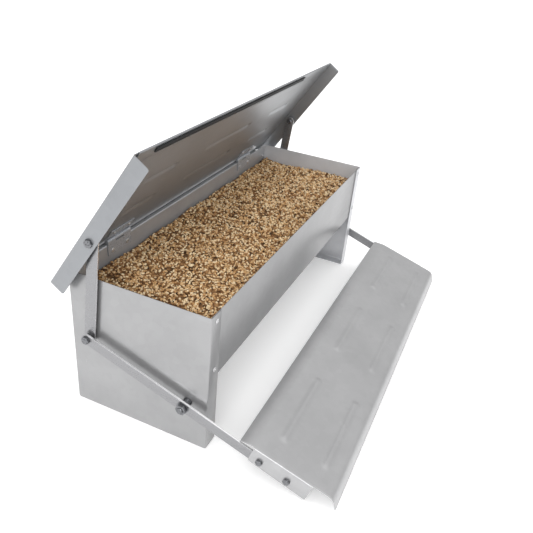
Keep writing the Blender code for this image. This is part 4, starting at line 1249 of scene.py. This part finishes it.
# --- studio -------------------------------------------------------------------------------
@dataclass
class Studio:
    """White cove, soft light and the camera."""

    key_power: float = 21.0
    key_size: float = 1.1
    key_at: tuple[float, float, float] = (-2.3, -0.5, 1.7)
    key_aim: tuple[float, float, float] = (0.0, 0.0, 0.1)
    world_high: float = 1.32
    world_low: float = 0.42
    brightest: tuple[float, float, float] = (-0.47, -0.10, 0.877)
    floor_radius: float = 16.0
    floor_drop: float = 0.2 * MM
    azimuth: float = math.radians(-68.556)
    elevation: float = math.radians(30.034)
    roll: float = math.radians(5.839)
    lens_mm: float = 40.378
    distance: float = 0.9802
    aim_mm: tuple[float, float, float] = (15.1, -38.3, 101.5)

    def floor(self, finish: bpy.types.Material) -> None:
        """A wide, plain, pale floor."""
        obj = start("studio_floor", Blank.DISC, vertices=96, radius=self.floor_radius, fill_type="NGON",
                    location=(0, 0, -self.floor_drop))
        leave_edit()
        obj.data.materials.append(finish)

    def world(self) -> None:
        """A white surround, brightest overhead on the camera's left, fading to the far side below."""
        world = bpy.data.worlds.new("white_cove_light")
        bpy.context.scene.world = world
        sky = Dye(world, "Background")
        toward = sky.node("VectorMath", {0: sky.node("TexCoord", out="Generated"), 1: self.brightest},
                          out="Value", operation="DOT_PRODUCT")
        fade = sky.node("MapRange", {
            "Value": toward, "From Min": -0.6, "From Max": 0.9,
            "To Min": self.world_low, "To Max": self.world_high,
        })
        sky.into(Color=linear("#ffffff"), Strength=fade)

    def key_lamp(self) -> None:
        """A soft square lamp on the camera's left, aimed at the box."""
        data = bpy.data.lights.new("key", "AREA")
        data.size = self.key_size
        data.energy = self.key_power
        lamp = bpy.data.objects.new("key", data)
        lamp.location = self.key_at
        lamp.rotation_mode = "QUATERNION"
        lamp.rotation_quaternion = (Vector(self.key_aim) - Vector(self.key_at)).to_track_quat("-Z", "Y")
        bpy.context.scene.collection.objects.link(lamp)

    def camera(self) -> None:
        """The camera: above and to the left of the pedal, with a slight roll."""
        low, high = RIG.span("side_panel_left")
        box_middle = (low.y + high.y) / 2
        back = Vector((
            math.sin(self.azimuth) * math.cos(self.elevation),
            -math.cos(self.azimuth) * math.cos(self.elevation),
            math.sin(self.elevation),
        ))
        right = Vector((0, 0, 1)).cross(back).normalized()
        up = back.cross(right)
        rolled = right * math.cos(self.roll) + up * math.sin(self.roll)
        up = up * math.cos(self.roll) - right * math.sin(self.roll)
        data = bpy.data.cameras.new("camera")
        data.sensor_width = 36.0
        data.lens = self.lens_mm
        camera = bpy.data.objects.new("camera", data)
        target = Vector(self.aim_mm) * MM + Vector((0, box_middle, 0))
        turn = Matrix((rolled, up, back)).transposed().to_4x4()
        camera.matrix_world = Matrix.Translation(target + back * self.distance) @ turn
        bpy.context.scene.collection.objects.link(camera)
        bpy.context.scene.camera = camera

    def build(self, finish: bpy.types.Material) -> None:
        """Set up the whole studio."""
        self.camera()
        self.floor(finish)
        self.world()
        self.key_lamp()
        bpy.context.scene.view_settings.view_transform = "Standard"


def main() -> None:
    """Build every sub-assembly in order."""
    Studio().build(StudioFloor().make())
    # One kind of sheet throughout; its copies are painted lighter or darker by how each face is lit: painted light
    # and shade.
    sheet = ZincCoatedSheet("galvanised_sheet_side").make()
    wall_sheet_painted_shade = ZincCoatedSheet("galvanised_sheet_wall", "#9b9b9c", "#949495").make()
    back_sheet_painted_light = ZincCoatedSheet("galvanised_sheet_back", "#b6b8bb", "#afb1b4", metal=0.4).make()
    far_sheet_painted_light = ZincCoatedSheet("galvanised_sheet_far_side", "#d0d1d4", "#c8c9cc", metal=0.3).make()
    lid_sheet = ZincCoatedSheet("galvanised_sheet_lid", "#909295", "#898b8e", metal=0.5).make()
    pedal_sheet = ZincCoatedSheet("galvanised_sheet_pedal", "#b2b2b3", "#aaaaab").make()
    bar = ZincPlatedBar().make()
    fastener = SmallMetalPart("zinc_plated_fastener").make()
    rivet = SmallMetalPart("aluminium_blind_rivet", "#dcdcdd", "#8a8b8d", 0.7).make()
    dress_hinges(SmallMetalPart("zinc_plated_hinge", "#b4b8be", "#94979c", 0.35).make())
    box = FeedBox(sheet, far_sheet_painted_light, wall_sheet_painted_shade, back_sheet_painted_light)
    box.build()
    Lid(lid_sheet, BlackRubber().make()).build()
    Pedal(pedal_sheet, bar).build()
    Feed(FeedGrain().make(), box).build()
    Fasteners(fastener, rivet).build()


if __name__ == "__main__":
    logging.basicConfig(level=logging.INFO, format="%(message)s")
    main()
